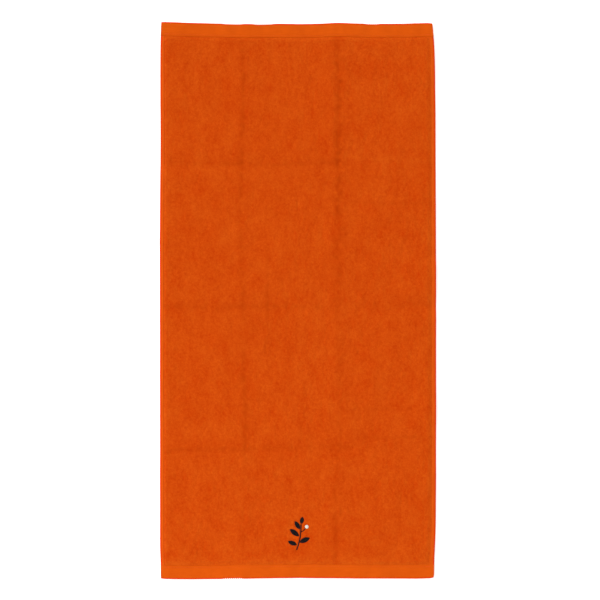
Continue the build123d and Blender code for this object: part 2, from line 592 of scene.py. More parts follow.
# ---- The towel's measurements and the way that it lies ----
@dataclass(frozen=True)
class Plan:
    """The towel's main lines, read from the frame, in metres."""

    half_width: float
    half_length: float
    side_fold: float
    end_fold: float
    hem_floor: float
    weave_bottom: float
    weave_top: float
    pile_top: float
    creases: tuple[float, float, float]

    @classmethod
    def from_frame(cls) -> "Plan":
        """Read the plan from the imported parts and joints.

        Returns:
            The plan.
        """
        weave_low, weave_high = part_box("bottom_ground_weave")
        hem_low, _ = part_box("bottom_end_hem")
        _, pile_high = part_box("lower_front_pile")
        places = {joint["name"]: joint["pos_m"][1] for joint in frame["joints"]}
        return cls(
            half_width=-hem_low.x,
            half_length=-hem_low.y,
            side_fold=-weave_low.x,
            end_fold=-weave_low.y,
            hem_floor=hem_low.z,
            weave_bottom=weave_low.z,
            weave_top=weave_high.z,
            pile_top=pile_high.z,
            creases=(places["bottom_fold"], places["half_fold"], places["top_fold"]),
        )


def smooth(share: Array) -> Array:
    """Return shares kept between 0 and 1, with a smooth start and end."""
    share = np.clip(share, 0.0, 1.0)
    return share * share * (3 - 2 * share)


class Cloudy:
    """Smooth random relief that gives the same values on every run."""

    def __init__(self, seed: int) -> None:
        """Fill a table of random heights.

        Args:
            seed: which table to make.
        """
        self.table = np.random.default_rng(seed).uniform(-1.0, 1.0, (256, 256))

    def at(self, x: Array, y: Array, pitch_x: float, pitch_y: float | None = None) -> Array:
        """Read the relief.

        Args:
            x: places across.
            y: places along.
            pitch_x: the size of its hills across.
            pitch_y: the size of its hills along; the same as across if left out.

        Returns:
            Heights from -1 to 1.
        """
        u, v = x / pitch_x, y / (pitch_y or pitch_x)
        column, row = np.floor(u).astype(int), np.floor(v).astype(int)
        s, t = smooth(u - column), smooth(v - row)
        corner = [self.table[(column + i) % 256, (row + j) % 256] for i in (0, 1) for j in (0, 1)]
        return (corner[0] * (1 - s) + corner[2] * s) * (1 - t) + (corner[1] * (1 - s) + corner[3] * s) * t


def near_line(points: Sequence[Sequence[float]], x: Array, y: Array) -> tuple[Array, Array]:
    """Measure places against a line of straight runs.

    Args:
        points: the line's points: across, along and a value that changes along the line.
        x: places across, in the points' units.
        y: places along.

    Returns:
        Each place's distance from the line, and the value at the line's nearest point.
    """
    best, value = np.full(x.shape, np.inf), np.zeros(x.shape)
    for (ax, ay, av), (bx, by, bv) in zip(points, points[1:]):
        dx, dy = bx - ax, by - ay
        t = np.clip(((x - ax) * dx + (y - ay) * dy) / (dx * dx + dy * dy), 0.0, 1.0)
        distance = np.hypot(x - ax - t * dx, y - ay - t * dy)
        value = np.where(distance < best, av + t * (bv - av), value)
        best = np.minimum(best, distance)
    return best, value


@dataclass(frozen=True)
class Crease:
    """A crease in the pile, sunk into it and with shade painted along it: its points in millimetres on the
    flat towel, each with a strength; a negative strength raises a ridge and makes it paler.
    """

    points: tuple[tuple[float, float, float], ...]
    depth: float = 0.5
    width: float = 4.0
    spread: float = 2.0


@dataclass
class Lay:
    """How the towel lies: its outline's slow waves, its gentle lift and the creases in its pile."""

    plan: Plan
    lift_mm: float = 1.5
    cockle_mm: float = 2.6
    ridges_mm: tuple[tuple[float, float], ...] = ((-100.0, 0.4), (72.0, 0.6))
    ridge_width_mm: float = 15.0
    wave_pitch: tuple[float, float] = (0.075, 0.11)
    ripple_pitch: tuple[float, float] = (0.034, 0.05)
    crease_reach: float = 26 * MM
    corner_reach: float = 5 * MM
    reach: float = 0.11
    left_inset_mm: tuple[tuple[float, float], ...] = (
        (-1.0, 1.3), (-0.94, 1.3), (-0.90, -0.1), (-0.5, -0.1), (0.1, -0.4), (0.2, -0.5), (0.38, 0.1),
        (0.55, 0.9), (0.85, 0.5), (0.94, 1.2), (1.0, 2.3),
    )
    right_inset_mm: tuple[tuple[float, float], ...] = (
        (-1.0, 3.4), (-0.93, 3.0), (-0.82, 0.3), (-0.6, -0.2), (0.0, -0.2), (0.3, 0.1), (0.7, 0.8),
        (0.85, 1.9), (0.93, 3.0), (0.96, 4.6), (1.0, 6.6),
    )
    top_inset_mm: tuple[tuple[float, float], ...] = (
        (-1.0, -3.3), (-0.9, -2.2), (-0.7, -1.0), (-0.5, 0.4), (-0.28, 1.1), (-0.14, 0.2), (0.0, 0.8),
        (0.16, 0.2), (0.29, -1.8), (0.42, -0.1), (0.6, 0.3), (0.8, -0.1), (0.95, -1.5), (1.0, -1.2),
    )
    bottom_inset_mm: tuple[tuple[float, float], ...] = (
        (-1.0, -0.9), (-0.9, -1.6), (-0.75, -2.1), (-0.55, -1.1), (-0.3, -0.2), (0.0, 0.7), (0.3, 0.1),
        (0.6, -0.2), (0.85, -0.9), (0.95, -0.4), (1.0, 0.3),
    )
    corner_pull_mm: tuple[tuple[float, float, float], ...] = (
        (-1.0, -1.0, 0.5), (1.0, -1.0, 0.9), (-1.0, 1.0, 0.4), (1.0, 1.0, 0.5),
    )
    creases: tuple[Crease, ...] = (
        Crease(
            ((-101, 478, 0.4), (-98, 400, 0.7), (-101, 300, 0.6), (-104, 150, 0.45), (-100, 20, 0.45),
             (-99, -70, 0.2), (-97, -150, 0.7), (-96, -235, 0.9), (-95, -290, 0.2), (-98, -478, 0.15)),
            0.5, 3.6, 2.2,
        ),
        Crease(
            ((74, 478, 0.75), (74, 380, 0.95), (73, 250, 1.0), (72, 130, 0.8), (70, 20, 0.6), (73, -20, 0.35),
             (78, -240, 0.35), (68, -300, 0.5), (70, -478, 0.5)),
            0.7, 5.4, 2.2,
        ),
        Crease(((-54, 96, 0.3), (-55, 20, 0.5), (-56, -98, 0.2)), 0.3, 3.0),
        Crease(((-243, 250, 0.3), (-60, 246, 0.4), (60, 249, 0.35), (110, 250, 0.0)), 0.3, 4.0),
        Crease(((-243, -12, 0.45), (-60, -10, 0.35), (40, -11, 0.3), (243, -7, 0.15)), 0.4, 4.6),
        Crease(((-243, -271, 0.45), (-90, -268, 0.35), (60, -264, 0.3), (110, -262, 0.0)), 0.4, 4.0),
        Crease(((88, 181, 0.2), (150, 175, 0.3), (243, 178, 0.3)), 0.3, 3.0),
        Crease(((84, -196, 0.3), (170, -197, 0.35), (243, -192, 0.25)), 0.3, 3.0),
        Crease(((90, -246, 0.25), (160, -248, 0.3), (243, -246, 0.25)), 0.3, 3.0),
        Crease(((-148, 104, -0.2), (-112, 132, -0.3), (-90, 146, -0.3), (-46, 156, -0.2)), 0.4, 4.5),
        Crease(((90, 262, -0.3), (243, 254, -0.3)), 0.4, 3.0),
    )

    def __post_init__(self) -> None:
        """Make the tables of relief."""
        self.slow = Cloudy(11)
        self.broken = Cloudy(23)

    def settle(self, points: Array) -> Array:
        """Lay flat-drawn points down on the surface.

        Args:
            points: places on the flat towel, one row each, in metres.

        Returns:
            The same points with the outline's waves and the cloth's lift.
        """
        x, y, z = points[:, 0], points[:, 1], points[:, 2]
        half_width, half_length = self.plan.half_width, self.plan.half_length
        u, v = x / half_width, y / half_length
        left = self._inset(self.left_inset_mm, v) * self._near(half_width + x)
        right = self._inset(self.right_inset_mm, v) * self._near(half_width - x)
        top = self._inset(self.top_inset_mm, u) * self._near(half_length - y)
        bottom = self._inset(self.bottom_inset_mm, u) * self._near(half_length + y)
        shift_x, shift_y = left - right, bottom - top
        for side, end, pull in self.corner_pull_mm:
            distance = np.hypot(half_width - side * x, half_length - end * y)
            corner = pull * MM * np.exp(-((distance / self.corner_reach) ** 2))
            shift_x, shift_y = shift_x - side * corner, shift_y - end * corner
        return np.column_stack((x + shift_x, y + shift_y, z + self.lift(x, y)))

    def _inset(self, stops: Sequence[tuple[float, float]], place: Array) -> Array:
        """Return how far an edge is drawn in at each place along it, in metres.

        Args:
            stops: places from -1 to 1 along the edge, each with its inset in millimetres.
            place: where to read it.

        Returns:
            The inset, smoothed.
        """
        known, inset = zip(*stops)
        fine = np.linspace(-1.0, 1.0, 161)
        kernel = np.hanning(11)[1:-1]
        padded = np.pad(np.interp(fine, known, inset), 4, mode="edge")
        eased = np.convolve(padded, kernel / kernel.sum(), mode="valid")
        return MM * np.interp(place, fine, eased)

    def _near(self, distance: Array) -> Array:
        """Return 1 at an edge, falling smoothly to 0 at the reach of its pull."""
        return smooth(1.0 - distance / self.reach)

    def lift(self, x: Array, y: Array) -> Array:
        """Work out how far the whole cloth stands off the surface.

        Args:
            x: places across, in metres.
            y: places along, in metres.

        Returns:
            The lift in metres, never below 0: slow waves, soft ridges beside the lengthwise creases, and
            cockled edges.
        """
        waves = 0.65 * self.slow.at(x, y, *self.wave_pitch)
        waves = waves + 0.35 * self.slow.at(x + 5.0, y, *self.ripple_pitch)
        ridges = np.zeros_like(x)
        for place, height in self.ridges_mm:
            ridges += height * np.exp(-((np.abs(x / MM - place) / self.ridge_width_mm) ** 1.5))
        inner = self.lift_mm * np.clip(0.42 + waves + ridges, 0.0, 1.0)
        ends = self.slow.at(x + 0.4, y * 0 + 0.3, 0.052) * 0.6
        ends = ends + self.slow.at(x + 0.9, y * 0 + 0.8, 0.024) * 0.4
        sides = self.slow.at(x * 0 + np.sign(x), y + 0.2, 0.05, 0.062)
        near_end = self._near(self.plan.half_length - np.abs(y)) ** 2
        near_side = self._near(self.plan.half_width - np.abs(x)) ** 2
        end_cockle = np.clip(0.25 + ends, 0.0, 1.0) * near_end
        side_cockle = np.clip(0.15 + sides, 0.0, 1.0) * near_side * (1 - near_end)
        cockle = self.cockle_mm * (end_cockle + side_cockle)
        flat = np.ones_like(x)
        for place in self.plan.creases:
            flat *= smooth(np.abs(y - place) / self.crease_reach)
        return MM * (inner + cockle) * flat

    def press(self, x: Array, y: Array) -> tuple[Array, Array]:
        """Work out what the creases do to the pile.

        Args:
            x: places across, in metres.
            y: places along, in metres.

        Returns:
            How deep the pile is sunk, in metres, and how much shade is painted on it, from 0 to 1.
        """
        depth, shade = np.zeros_like(x), np.zeros_like(x)
        wander = 1.8 * self.slow.at(x + 2.0, y + 1.0, 0.03)
        for index, crease in enumerate(self.creases):
            distance, strength = near_line(crease.points, x / MM + wander, y / MM + wander)
            core = np.exp(-((distance / crease.width) ** 2))
            halo = np.exp(-((distance / (crease.spread * crease.width)) ** 2))
            broken = 0.7 + 0.3 * self.broken.at(x + index, y - index, 0.017)
            mottled = np.clip(0.5 + 0.9 * self.broken.at(x - index, y + index, 0.0065), 0.0, 1.4)
            depth += crease.depth * MM * strength * core * broken
            # Painted shade along the crease: a narrow core and a wide, mottled halo.
            shade += strength * (0.50 * core * broken + 0.46 * halo * mottled)
        return depth, shade


# ---- Mesh drafting ----
def stations(
    start: float, stop: float, pitch: float, fine: Sequence[tuple[float, float, float]] = ()
) -> Array:
    """Place grid lines along an axis, closer together where the cloth bends or carries detail.

    Args:
        start: the first line.
        stop: the last line.
        pitch: the usual distance between lines.
        fine: stretches with closer lines, each a centre, a half-length and a pitch.

    Returns:
        The lines' places.
    """
    places = [start]
    while places[-1] < stop:
        here = places[-1]
        steps = [step for centre, half, step in fine if abs(here + 0.5 * step - centre) < half]
        starts = [max(centre - half - here, step) for centre, half, step in fine if centre - half > here]
        places.append(here + min([pitch, *steps, *starts]))
    line = np.array(places)
    return start + (line - start) * (stop - start) / (line[-1] - start)


class Draft:
    """Points and faces of one piece, drawn on the flat towel."""

    def __init__(self, name: str) -> None:
        """Start an empty draft.

        Args:
            name: the piece's name.
        """
        self.name = name
        self.points: list[Array] = []
        self.rest: list[Array] = []
        self.faces: list[Array] = []
        self.flat: list[Array] = []
        self.nap: list[Array] = []
        self.count = 0

    def add_points(self, points: Array, rest: Array | None = None, nap: Array | None = None) -> int:
        """Add points.

        Args:
            points: one row each, in metres.
            rest: where the finish's pattern is read, in millimetres; the points themselves if left out.
            nap: how much shade is painted at each point; 0 if left out.

        Returns:
            The index of the first one.
        """
        first = self.count
        self.points.append(points)
        self.rest.append(points / MM if rest is None else rest)
        self.nap.append(np.zeros(len(points)) if nap is None else nap)
        self.count += len(points)
        return first

    def add_faces(self, faces: Array, flat: bool = False) -> None:
        """Add faces that all have the same number of corners.

        Args:
            faces: one row of point indices each.
            flat: whether they are shaded flat, as at a cut edge.
        """
        self.faces.append(faces)
        self.flat.append(np.full(len(faces), flat))

    def add_grid(self, first: int, rows: int, columns: int, turn: bool = False, closed: bool = False) -> None:
        """Join a block of points, stored row by row, with quads.

        Args:
            first: the index of the block's first point.
            rows: how many rows it has.
            columns: how many points a row has.
            turn: whether the faces look the other way.
            closed: whether each row's last point joins its first.
        """
        row = np.arange(rows - 1)[:, None] * columns
        column = np.arange(columns if closed else columns - 1)[None, :]
        right = (column + 1) % columns
        quads = np.stack((row + column, row + right, row + columns + right, row + columns + column), -1)
        quads = quads.reshape(-1, 4) + first
        self.add_faces(quads[:, ::-1] if turn else quads)

    def add_walls(self, near: int, far: int, rows: int, columns: int) -> None:
        """Close the four sides between two blocks of points that have the same grid.

        Args:
            near: the index of the first block's first point.
            far: the index of the second block's first point.
            rows: how many rows they have.
            columns: how many points a row has.
        """
        index = np.arange(rows * columns).reshape(rows, columns)
        for line, turn in ((index[0], False), (index[-1], True), (index[:, 0], True), (index[:, -1], False)):
            wall = np.stack((line[:-1] + near, line[1:] + near, line[1:] + far, line[:-1] + far), -1)
            self.add_faces(wall[:, ::-1] if turn else wall, flat=True)

    def add_tubes(self, paths: Array, radius: float, flatten: float, sides: int = 6) -> None:
        """Add many closed tubes of thread at once.

        Args:
            paths: a block of tubes by rings by three coordinates, in metres.
            radius: the thread's radius.
            flatten: the section's height as a share of its width.
            sides: how many corners its section has.
        """
        count, rings, _ = paths.shape
        ahead = np.gradient(paths, axis=1)
        ahead /= np.linalg.norm(ahead, axis=2, keepdims=True)
        side = np.cross(ahead, np.array([0.0, 0.0, 1.0]))
        side /= np.linalg.norm(side, axis=2, keepdims=True)
        over = np.cross(side, ahead)
        angle = np.arange(sides) * 2 * math.pi / sides
        taper = np.ones(rings)
        taper[[0, -1]] = THREAD_END
        ring = (
            np.cos(angle)[None, None, :, None] * side[:, :, None, :]
            + flatten * np.sin(angle)[None, None, :, None] * over[:, :, None, :]
        )
        points = paths[:, :, None, :] + radius * taper[None, :, None, None] * ring
        first = self.add_points(points.reshape(-1, 3))
        base = first + np.arange(count)[:, None, None] * rings * sides
        around = np.arange(sides)[None, None, :]
        step = np.arange(rings - 1)[None, :, None] * sides
        low, high = base + step + around, base + step + (around + 1) % sides
        self.add_faces(np.stack((low, high, high + sides, low + sides), -1).reshape(-1, 4))
        caps = base[:, 0, :] + np.arange(sides)[None, :]
        self.add_faces(caps[:, ::-1])
        self.add_faces(caps + (rings - 1) * sides)

    def build(self, material: bpy.types.Material, lay: Lay | None = None) -> bpy.types.Object:
        """Make the Blender object.

        Args:
            material: its finish.
            lay: how the towel lies; the points stay as they are if left out.

        Returns:
            The object, linked to the scene.
        """
        points = np.concatenate(self.points)
        if lay is not None:
            points = lay.settle(points)
        corners = np.concatenate([faces.reshape(-1) for faces in self.faces])
        sizes = np.concatenate([np.full(len(faces), faces.shape[1]) for faces in self.faces])
        mesh = bpy.data.meshes.new(self.name)
        mesh.vertices.add(len(points))
        mesh.vertices.foreach_set("co", points.astype(np.float32).reshape(-1))
        mesh.loops.add(len(corners))
        mesh.loops.foreach_set("vertex_index", corners.astype(np.int32))
        mesh.polygons.add(len(sizes))
        mesh.polygons.foreach_set("loop_start", np.concatenate(([0], np.cumsum(sizes)[:-1])).astype(np.int32))
        mesh.update(calc_edges=True)
        flat = np.concatenate(self.flat)
        mesh.polygons.foreach_set("use_smooth", ~flat)
        edge_of_corner = np.zeros(len(corners), np.int32)
        mesh.loops.foreach_get("edge_index", edge_of_corner)
        sharp = np.zeros(len(mesh.edges), bool)
        sharp[edge_of_corner[np.repeat(flat, sizes)]] = True
        mesh.attributes.new("sharp_edge", "BOOLEAN", "EDGE").data.foreach_set("value", sharp)
        pattern = mesh.attributes.new(REST_ATTRIBUTE, "FLOAT_VECTOR", "POINT")
        pattern.data.foreach_set("vector", np.concatenate(self.rest).astype(np.float32).reshape(-1))
        nap = mesh.attributes.new(PAINTED_SHADE_ATTRIBUTE, "FLOAT", "POINT")
        nap.data.foreach_set("value", np.concatenate(self.nap).astype(np.float32))
        mesh.materials.append(material)
        mesh.validate()
        made = bpy.data.objects.new(self.name, mesh)
        bpy.context.scene.collection.objects.link(made)
        log.info("%s: %d points, %d faces", self.name, len(points), len(sizes))
        return made


def settled(
    made: bpy.types.Object, nodes: Sequence[str], body: str | None = None
) -> bpy.types.Object:
    """Hide the parts that a piece stands for, and hang it on its body.

    Args:
        made: the piece.
        nodes: the parts that it stands for.
        body: the body that it rides, unless it crosses a crease.

    Returns:
        The piece.
    """
    if body is not None:
        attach(made, body)
    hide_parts(*nodes)
    return made


# ---- The embroidered sprig ----
@dataclass(frozen=True)
class Leaf:
    """One leaf of the sprig, between two arcs, in millimetres from the sprig's centre."""

    base: tuple[float, float]
    angle: float
    length: float
    width: float

    def half_width(self, along: Array) -> Array:
        """Measure the leaf across.

        Args:
            along: distances from its base, in millimetres.

        Returns:
            Half its width at each distance.
        """
        sag = self.width / 2
        radius = (self.length**2 / 4 + sag**2) / (2 * sag)
        middle = np.clip(along, 0.0, self.length) - self.length / 2
        return np.sqrt(np.maximum(radius**2 - middle**2, 0.0)) - (radius - sag)

    def to_towel(self, along: Array, across: Array) -> tuple[Array, Array]:
        """Turn leaf coordinates into sprig coordinates, in millimetres."""
        c, s = math.cos(math.radians(self.angle)), math.sin(math.radians(self.angle))
        return self.base[0] + along * c - across * s, self.base[1] + along * s + across * c

    def from_towel(self, x: Array, y: Array) -> tuple[Array, Array]:
        """Turn sprig coordinates into leaf coordinates.

        Args:
            x: places across the sprig, in millimetres.
            y: places up the sprig.

        Returns:
            The places along the leaf and across it.
        """
        c, s = math.cos(math.radians(self.angle)), math.sin(math.radians(self.angle))
        dx, dy = x - self.base[0], y - self.base[1]
        return dx * c + dy * s, dy * c - dx * s


@dataclass
class Sprig:
    """Embroidered leaf sprig: satin stitches over an underlay, with bobbin thread and fleece behind."""

    lay: Lay
    finishes: Finishes
    centre: tuple[float, float] = (4.0, -421.0)
    leaves: tuple[Leaf, ...] = (
        Leaf((-6.2, -20.5), 158.0, 17.0, 8.0),
        Leaf((-1.0, -16.0), 24.0, 20.0, 9.0),
        Leaf((-2.2, -4.5), 143.0, 20.5, 9.0),
        Leaf((-0.6, 8.0), 122.0, 17.0, 8.0),
        Leaf((1.8, 17.6), 78.0, 12.8, 7.2),
    )
    stem: tuple[tuple[float, float], ...] = ((-6.5, -30.0), (0.0, -6.0), (1.5, 16.0))
    stem_width: float = 2.0
    stalk: tuple[tuple[float, float], ...] = ((1.6, 3.0), (6.2, 5.4), (9.3, 9.1))
    stalk_width: float = 1.2
    berry: tuple[float, float] = (11.8, 12.4)
    berry_radius: float = 3.3
    thread_pitch: float = 0.40
    thread_radius: float = 0.24
    slant: float = 34.0
    berry_slant: float = 25.0
    band_skew: float = 0.35
    cover_mm: float = 1.4
    jitter_mm: float = 0.05
    fine_jitter_mm: float = 0.04
    back_jitter_mm: float = 0.18
    lining_spacing: float = 2.2
    back_spacing: float = 1.5

    def press(self, x: Array, y: Array) -> Array:
        """Return how far the stitches cover each place on the towel, from 0 outside to 1 under them.

        Args:
            x: places across, in metres.
            y: places along, in metres.

        Returns:
            The cover.
        """
        u, v = x / MM - self.centre[0], y / MM - self.centre[1]
        gap = np.hypot(u - self.berry[0], v - self.berry[1]) - self.berry_radius
        for leaf in self.leaves:
            along, across = leaf.from_towel(u, v)
            ends = np.maximum(-along, along - leaf.length)
            gap = np.minimum(gap, np.maximum(np.abs(across) - leaf.half_width(along), ends))
        for line, width in ((self.stem, self.stem_width), (self.stalk, self.stalk_width)):
            distance, _ = near_line([(*point, 0.0) for point in line], u, v)
            gap = np.minimum(gap, distance - width / 2)
        return np.clip(0.9 - gap / self.cover_mm, 0.0, 1.0)

    def _threads(self, starts: Array, ends: Array, floor: float, dome: float, rings: int = 7) -> Array:
        """Stretch one thread between each pair of needle holes.

        Args:
            starts: the holes that the threads leave, in sprig millimetres.
            ends: the holes that they enter.
            floor: the height of the holes, in millimetres.
            dome: how far the threads stand up in the middle, in millimetres.
            rings: how many points each thread has.

        Returns:
            The threads' centre lines, in metres.
        """
        t = np.linspace(0.0, 1.0, rings)[None, :, None]
        line = starts[:, None, :] * (1 - t) + ends[:, None, :] * t
        rise = floor + dome * np.sin(math.pi * np.clip(t * 0.94 + 0.03, 0.0, 1.0)) ** 0.6
        z = np.broadcast_to(rise, (len(starts), rings, 1))
        place = np.concatenate((line + np.array(self.centre), z), axis=2)
        return place * MM

    def _leaf_threads(self, leaf: Leaf, pitch: float) -> tuple[Array, Array]:
        """Lay a leaf's two halves of satin stitch, slanting from its midrib to its edges.

        Args:
            leaf: the leaf.
            pitch: the distance between threads, in millimetres.

        Returns:
            The needle holes at both ends of each thread.
        """
        starts, ends = [], []
        slope = math.tan(math.radians(self.slant))
        for side in (-1.0, 1.0):
            rib = np.arange(0.3, leaf.length - 0.2, pitch)
            reach = np.zeros_like(rib)
            for _ in range(6):
                reach = leaf.half_width(rib + slope * reach) * 0.97
            inner = leaf.to_towel(rib, np.full_like(rib, 0.06 * side))
            outer = leaf.to_towel(rib + slope * reach, side * np.maximum(reach, 0.12))
            starts.append(np.column_stack(inner))
            ends.append(np.column_stack(outer))
        return np.concatenate(starts), np.concatenate(ends)

    def _band_threads(
        self, line: Sequence[tuple[float, float]], width: float, pitch: float
    ) -> tuple[Array, Array]:
        """Lay satin stitch across a narrow curved band.

        Args:
            line: the three points of the band's middle line.
            width: the band's width, in millimetres.
            pitch: the distance between threads.

        Returns:
            The needle holes at both ends of each thread.
        """
        (ax, ay), (bx, by), (cx, cy) = line
        d = 2 * (ax * (by - cy) + bx * (cy - ay) + cx * (ay - by))
        squares = [px * px + py * py for px, py in line]
        ox = (squares[0] * (by - cy) + squares[1] * (cy - ay) + squares[2] * (ay - by)) / d
        oy = (squares[0] * (cx - bx) + squares[1] * (ax - cx) + squares[2] * (bx - ax)) / d
        radius = math.hypot(ax - ox, ay - oy)
        first, last = math.atan2(ay - oy, ax - ox), math.atan2(cy - oy, cx - ox)
        turn = (last - first + math.pi) % (2 * math.pi) - math.pi
        count = max(4, int(abs(turn) * radius / pitch))
        angle = first + turn * np.linspace(0.0, 1.0, count)
        skew = self.band_skew * width / radius
        near, far = radius - width / 2, radius + width / 2
        inner = np.column_stack((ox + near * np.cos(angle), oy + near * np.sin(angle)))
        outer = np.column_stack((ox + far * np.cos(angle + skew), oy + far * np.sin(angle + skew)))
        return inner, outer

    def _berry_threads(self, pitch: float) -> tuple[Array, Array]:
        """Lay satin stitch straight across the round berry.

        Args:
            pitch: the distance between threads, in millimetres.

        Returns:
            The needle holes at both ends of each thread.
        """
        offset = np.arange(-self.berry_radius + 0.2, self.berry_radius - 0.1, pitch)
        half = np.sqrt(self.berry_radius**2 - offset**2)
        c, s = math.cos(math.radians(self.berry_slant)), math.sin(math.radians(self.berry_slant))
        x, y = self.berry
        starts = np.column_stack((x - offset * s - half * c, y + offset * c - half * s))
        ends = np.column_stack((x - offset * s + half * c, y + offset * c + half * s))
        return starts, ends

    def _jittered(self, holes: tuple[Array, Array], amount: float, seed: int) -> tuple[Array, Array]:
        """Move needle holes a little, as on a real machine.

        Args:
            holes: both ends of each thread.
            amount: how far, in millimetres.
            seed: which random draw to use.

        Returns:
            The moved holes.
        """
        draw = np.random.default_rng(seed)
        return tuple(end + draw.normal(0.0, amount, end.shape) for end in holes)

    def _piece(
        self, name: str, holes: Sequence[tuple[Array, Array]], floor: float, dome: float, slot: str, node: str
    ) -> bpy.types.Object:
        """Build one piece of thread work and set it on the towel.

        Args:
            name: the piece's name.
            holes: groups of needle holes.
            floor: the height of the holes, in millimetres.
            dome: how far the threads stand up, negative on the back.
            slot: its material slot in the record.
            node: the part that it stands for.

        Returns:
            The object.
        """
        material = self.finishes.black if slot == "black_thread" else self.finishes.white
        draft = Draft(name)
        for starts, ends in holes:
            draft.add_tubes(self._threads(starts, ends, floor, dome), self.thread_radius * MM, flatten=0.8)
        return settled(draft.build(material, self.lay), [node], "bottom_quarter")

    def build(self) -> list[bpy.types.Object]:
        """Build the whole sprig.

        Returns:
            Its pieces.
        """
        pitch = self.thread_pitch
        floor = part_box("motif_leaves")[0].z / MM + 0.02
        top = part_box("motif_leaves")[1].z / MM
        dome = top - floor - self.thread_radius
        leaf_holes = [self._leaf_threads(leaf, pitch) for leaf in self.leaves]
        leaf_holes = [self._jittered(holes, self.jitter_mm, 40 + i) for i, holes in enumerate(leaf_holes)]
        stem_holes = [
            self._jittered(self._band_threads(self.stem, self.stem_width, pitch), self.jitter_mm, 51),
            self._jittered(self._band_threads(self.stalk, self.stalk_width, pitch), self.fine_jitter_mm, 52),
        ]
        berry_holes = [self._jittered(self._berry_threads(pitch), self.fine_jitter_mm, 53)]
        lining = [self._leaf_threads(leaf, self.lining_spacing * pitch) for leaf in self.leaves]
        lining = [((s + e) / 2 + (s - e) * 0.4, (s + e) / 2 - (s - e) * 0.4) for s, e in lining]
        back_pitch = self.back_spacing * pitch
        behind = [self._leaf_threads(leaf, back_pitch) for leaf in self.leaves]
        behind.append(self._band_threads(self.stem, 0.8 * self.stem_width, back_pitch))
        behind.append(self._berry_threads(1.6 * pitch))
        behind = [self._jittered(holes, self.back_jitter_mm, 60 + i) for i, holes in enumerate(behind)]
        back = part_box("motif_backing")[0].z / MM + 0.12
        return [
            self._piece("sprig_leaves", leaf_holes, floor, dome, "black_thread", "motif_leaves"),
            self._piece("sprig_stem", stem_holes, floor, dome * 0.9, "black_thread", "motif_stem"),
            self._piece("sprig_berry", berry_holes, floor, dome, "white_thread", "motif_berry"),
            self._piece("sprig_underlay", lining, floor - 0.25, 0.3, "black_thread", "motif_underlay"),
            self._piece("sprig_bobbin_thread", behind, back, -0.2, "white_thread", "motif_bobbin_thread"),
            self._backing(),
        ]

    def _backing(self) -> bpy.types.Object:
        """Build the patch of fleece behind the embroidery, with its hand-cut edge.

        Returns:
            The object.
        """
        low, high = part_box("motif_backing")
        centre = (low + high) / 2
        half = (high - low) / 2
        rings, sides = 26, 96
        angle = np.arange(sides) * 2 * math.pi / sides
        square = (np.abs(np.cos(angle)) ** 5 + np.abs(np.sin(angle)) ** 5) ** (-1 / 5)
        ragged = 1.0 - 0.012 * (1 + Cloudy(71).at(angle * 3, angle * 0 + 0.5, 0.5))
        reach = np.linspace(0.0, 1.0, rings)[1:, None]
        x = centre.x + half.x * reach * square * ragged * np.cos(angle)
        y = centre.y + half.y * reach * square * ragged * np.sin(angle)
        ripple = 0.05 * MM * Cloudy(72).at(x, y, 0.004)
        draft = Draft("sprig_backing")
        for z, turn in ((high.z, False), (low.z, True)):
            level = z + ripple - (0.05 * MM if turn else 0.0)
            ring_points = np.column_stack((x.reshape(-1), y.reshape(-1), level.reshape(-1)))
            first = draft.add_points(ring_points)
            draft.add_grid(first, rings - 1, sides, turn=turn, closed=True)
            hub = draft.add_points(np.array([[centre.x, centre.y, z]]))
            spokes = np.arange(sides)
            fan = np.column_stack((np.full(sides, hub), first + (spokes + 1) % sides, first + spokes))
            draft.add_faces(fan if turn else fan[:, ::-1])
        last = (rings - 2) * sides
        upper, lower = last + np.arange(sides), last + np.arange(sides) + (rings - 1) * sides + 1
        rim = np.stack((upper, lower, np.roll(lower, -1), np.roll(upper, -1)), -1)
        draft.add_faces(rim)
        made = draft.build(self.finishes.fleece, self.lay)
        settled(made, ["motif_backing"], "bottom_quarter")
        return made


# ---- The terry cloth ----
@dataclass(frozen=True)
class Panel:
    """One length of cloth that crosses one crease, and the two quarters that it joins."""

    name: str
    start: float
    stop: float
    crease: float
    before: str
    after: str
    bend: float

    def bends(self, made: bpy.types.Object) -> None:
        """Bake a piece's placement into its mesh.

        Args:
            made: the piece, with its mesh final.
        """
        self.crease - self.bend / 2
        self.crease + self.bend / 2
        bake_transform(made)

    def rows(self, pitch: float, fine: Sequence[tuple[float, float, float]] = ()) -> Array:
        """Place the rows of a piece's grid along this panel, closer together at the crease."""
        return stations(self.start, self.stop, pitch, [(self.crease, 0.7 * self.bend, 0.6 * MM), *fine])


@dataclass(frozen=True)
class PileEdge:
    """How the pile ends at one hem: how wide its slope is, and how much paler its colour is made near the
    hem.
    """

    toward: tuple[float, float]
    slope_mm: float
    paler: float
    reach_mm: float = 8.0

    def distance(self, plan: Plan, x: Array, y: Array) -> Array:
        """Measure how far places are from the hem.

        Args:
            plan: the towel's main lines.
            x: places across, in metres.
            y: places along, in metres.

        Returns:
            The distances, in metres.
        """
        across, along = self.toward
        fold = plan.side_fold if across else plan.end_fold
        return fold - across * x - along * y


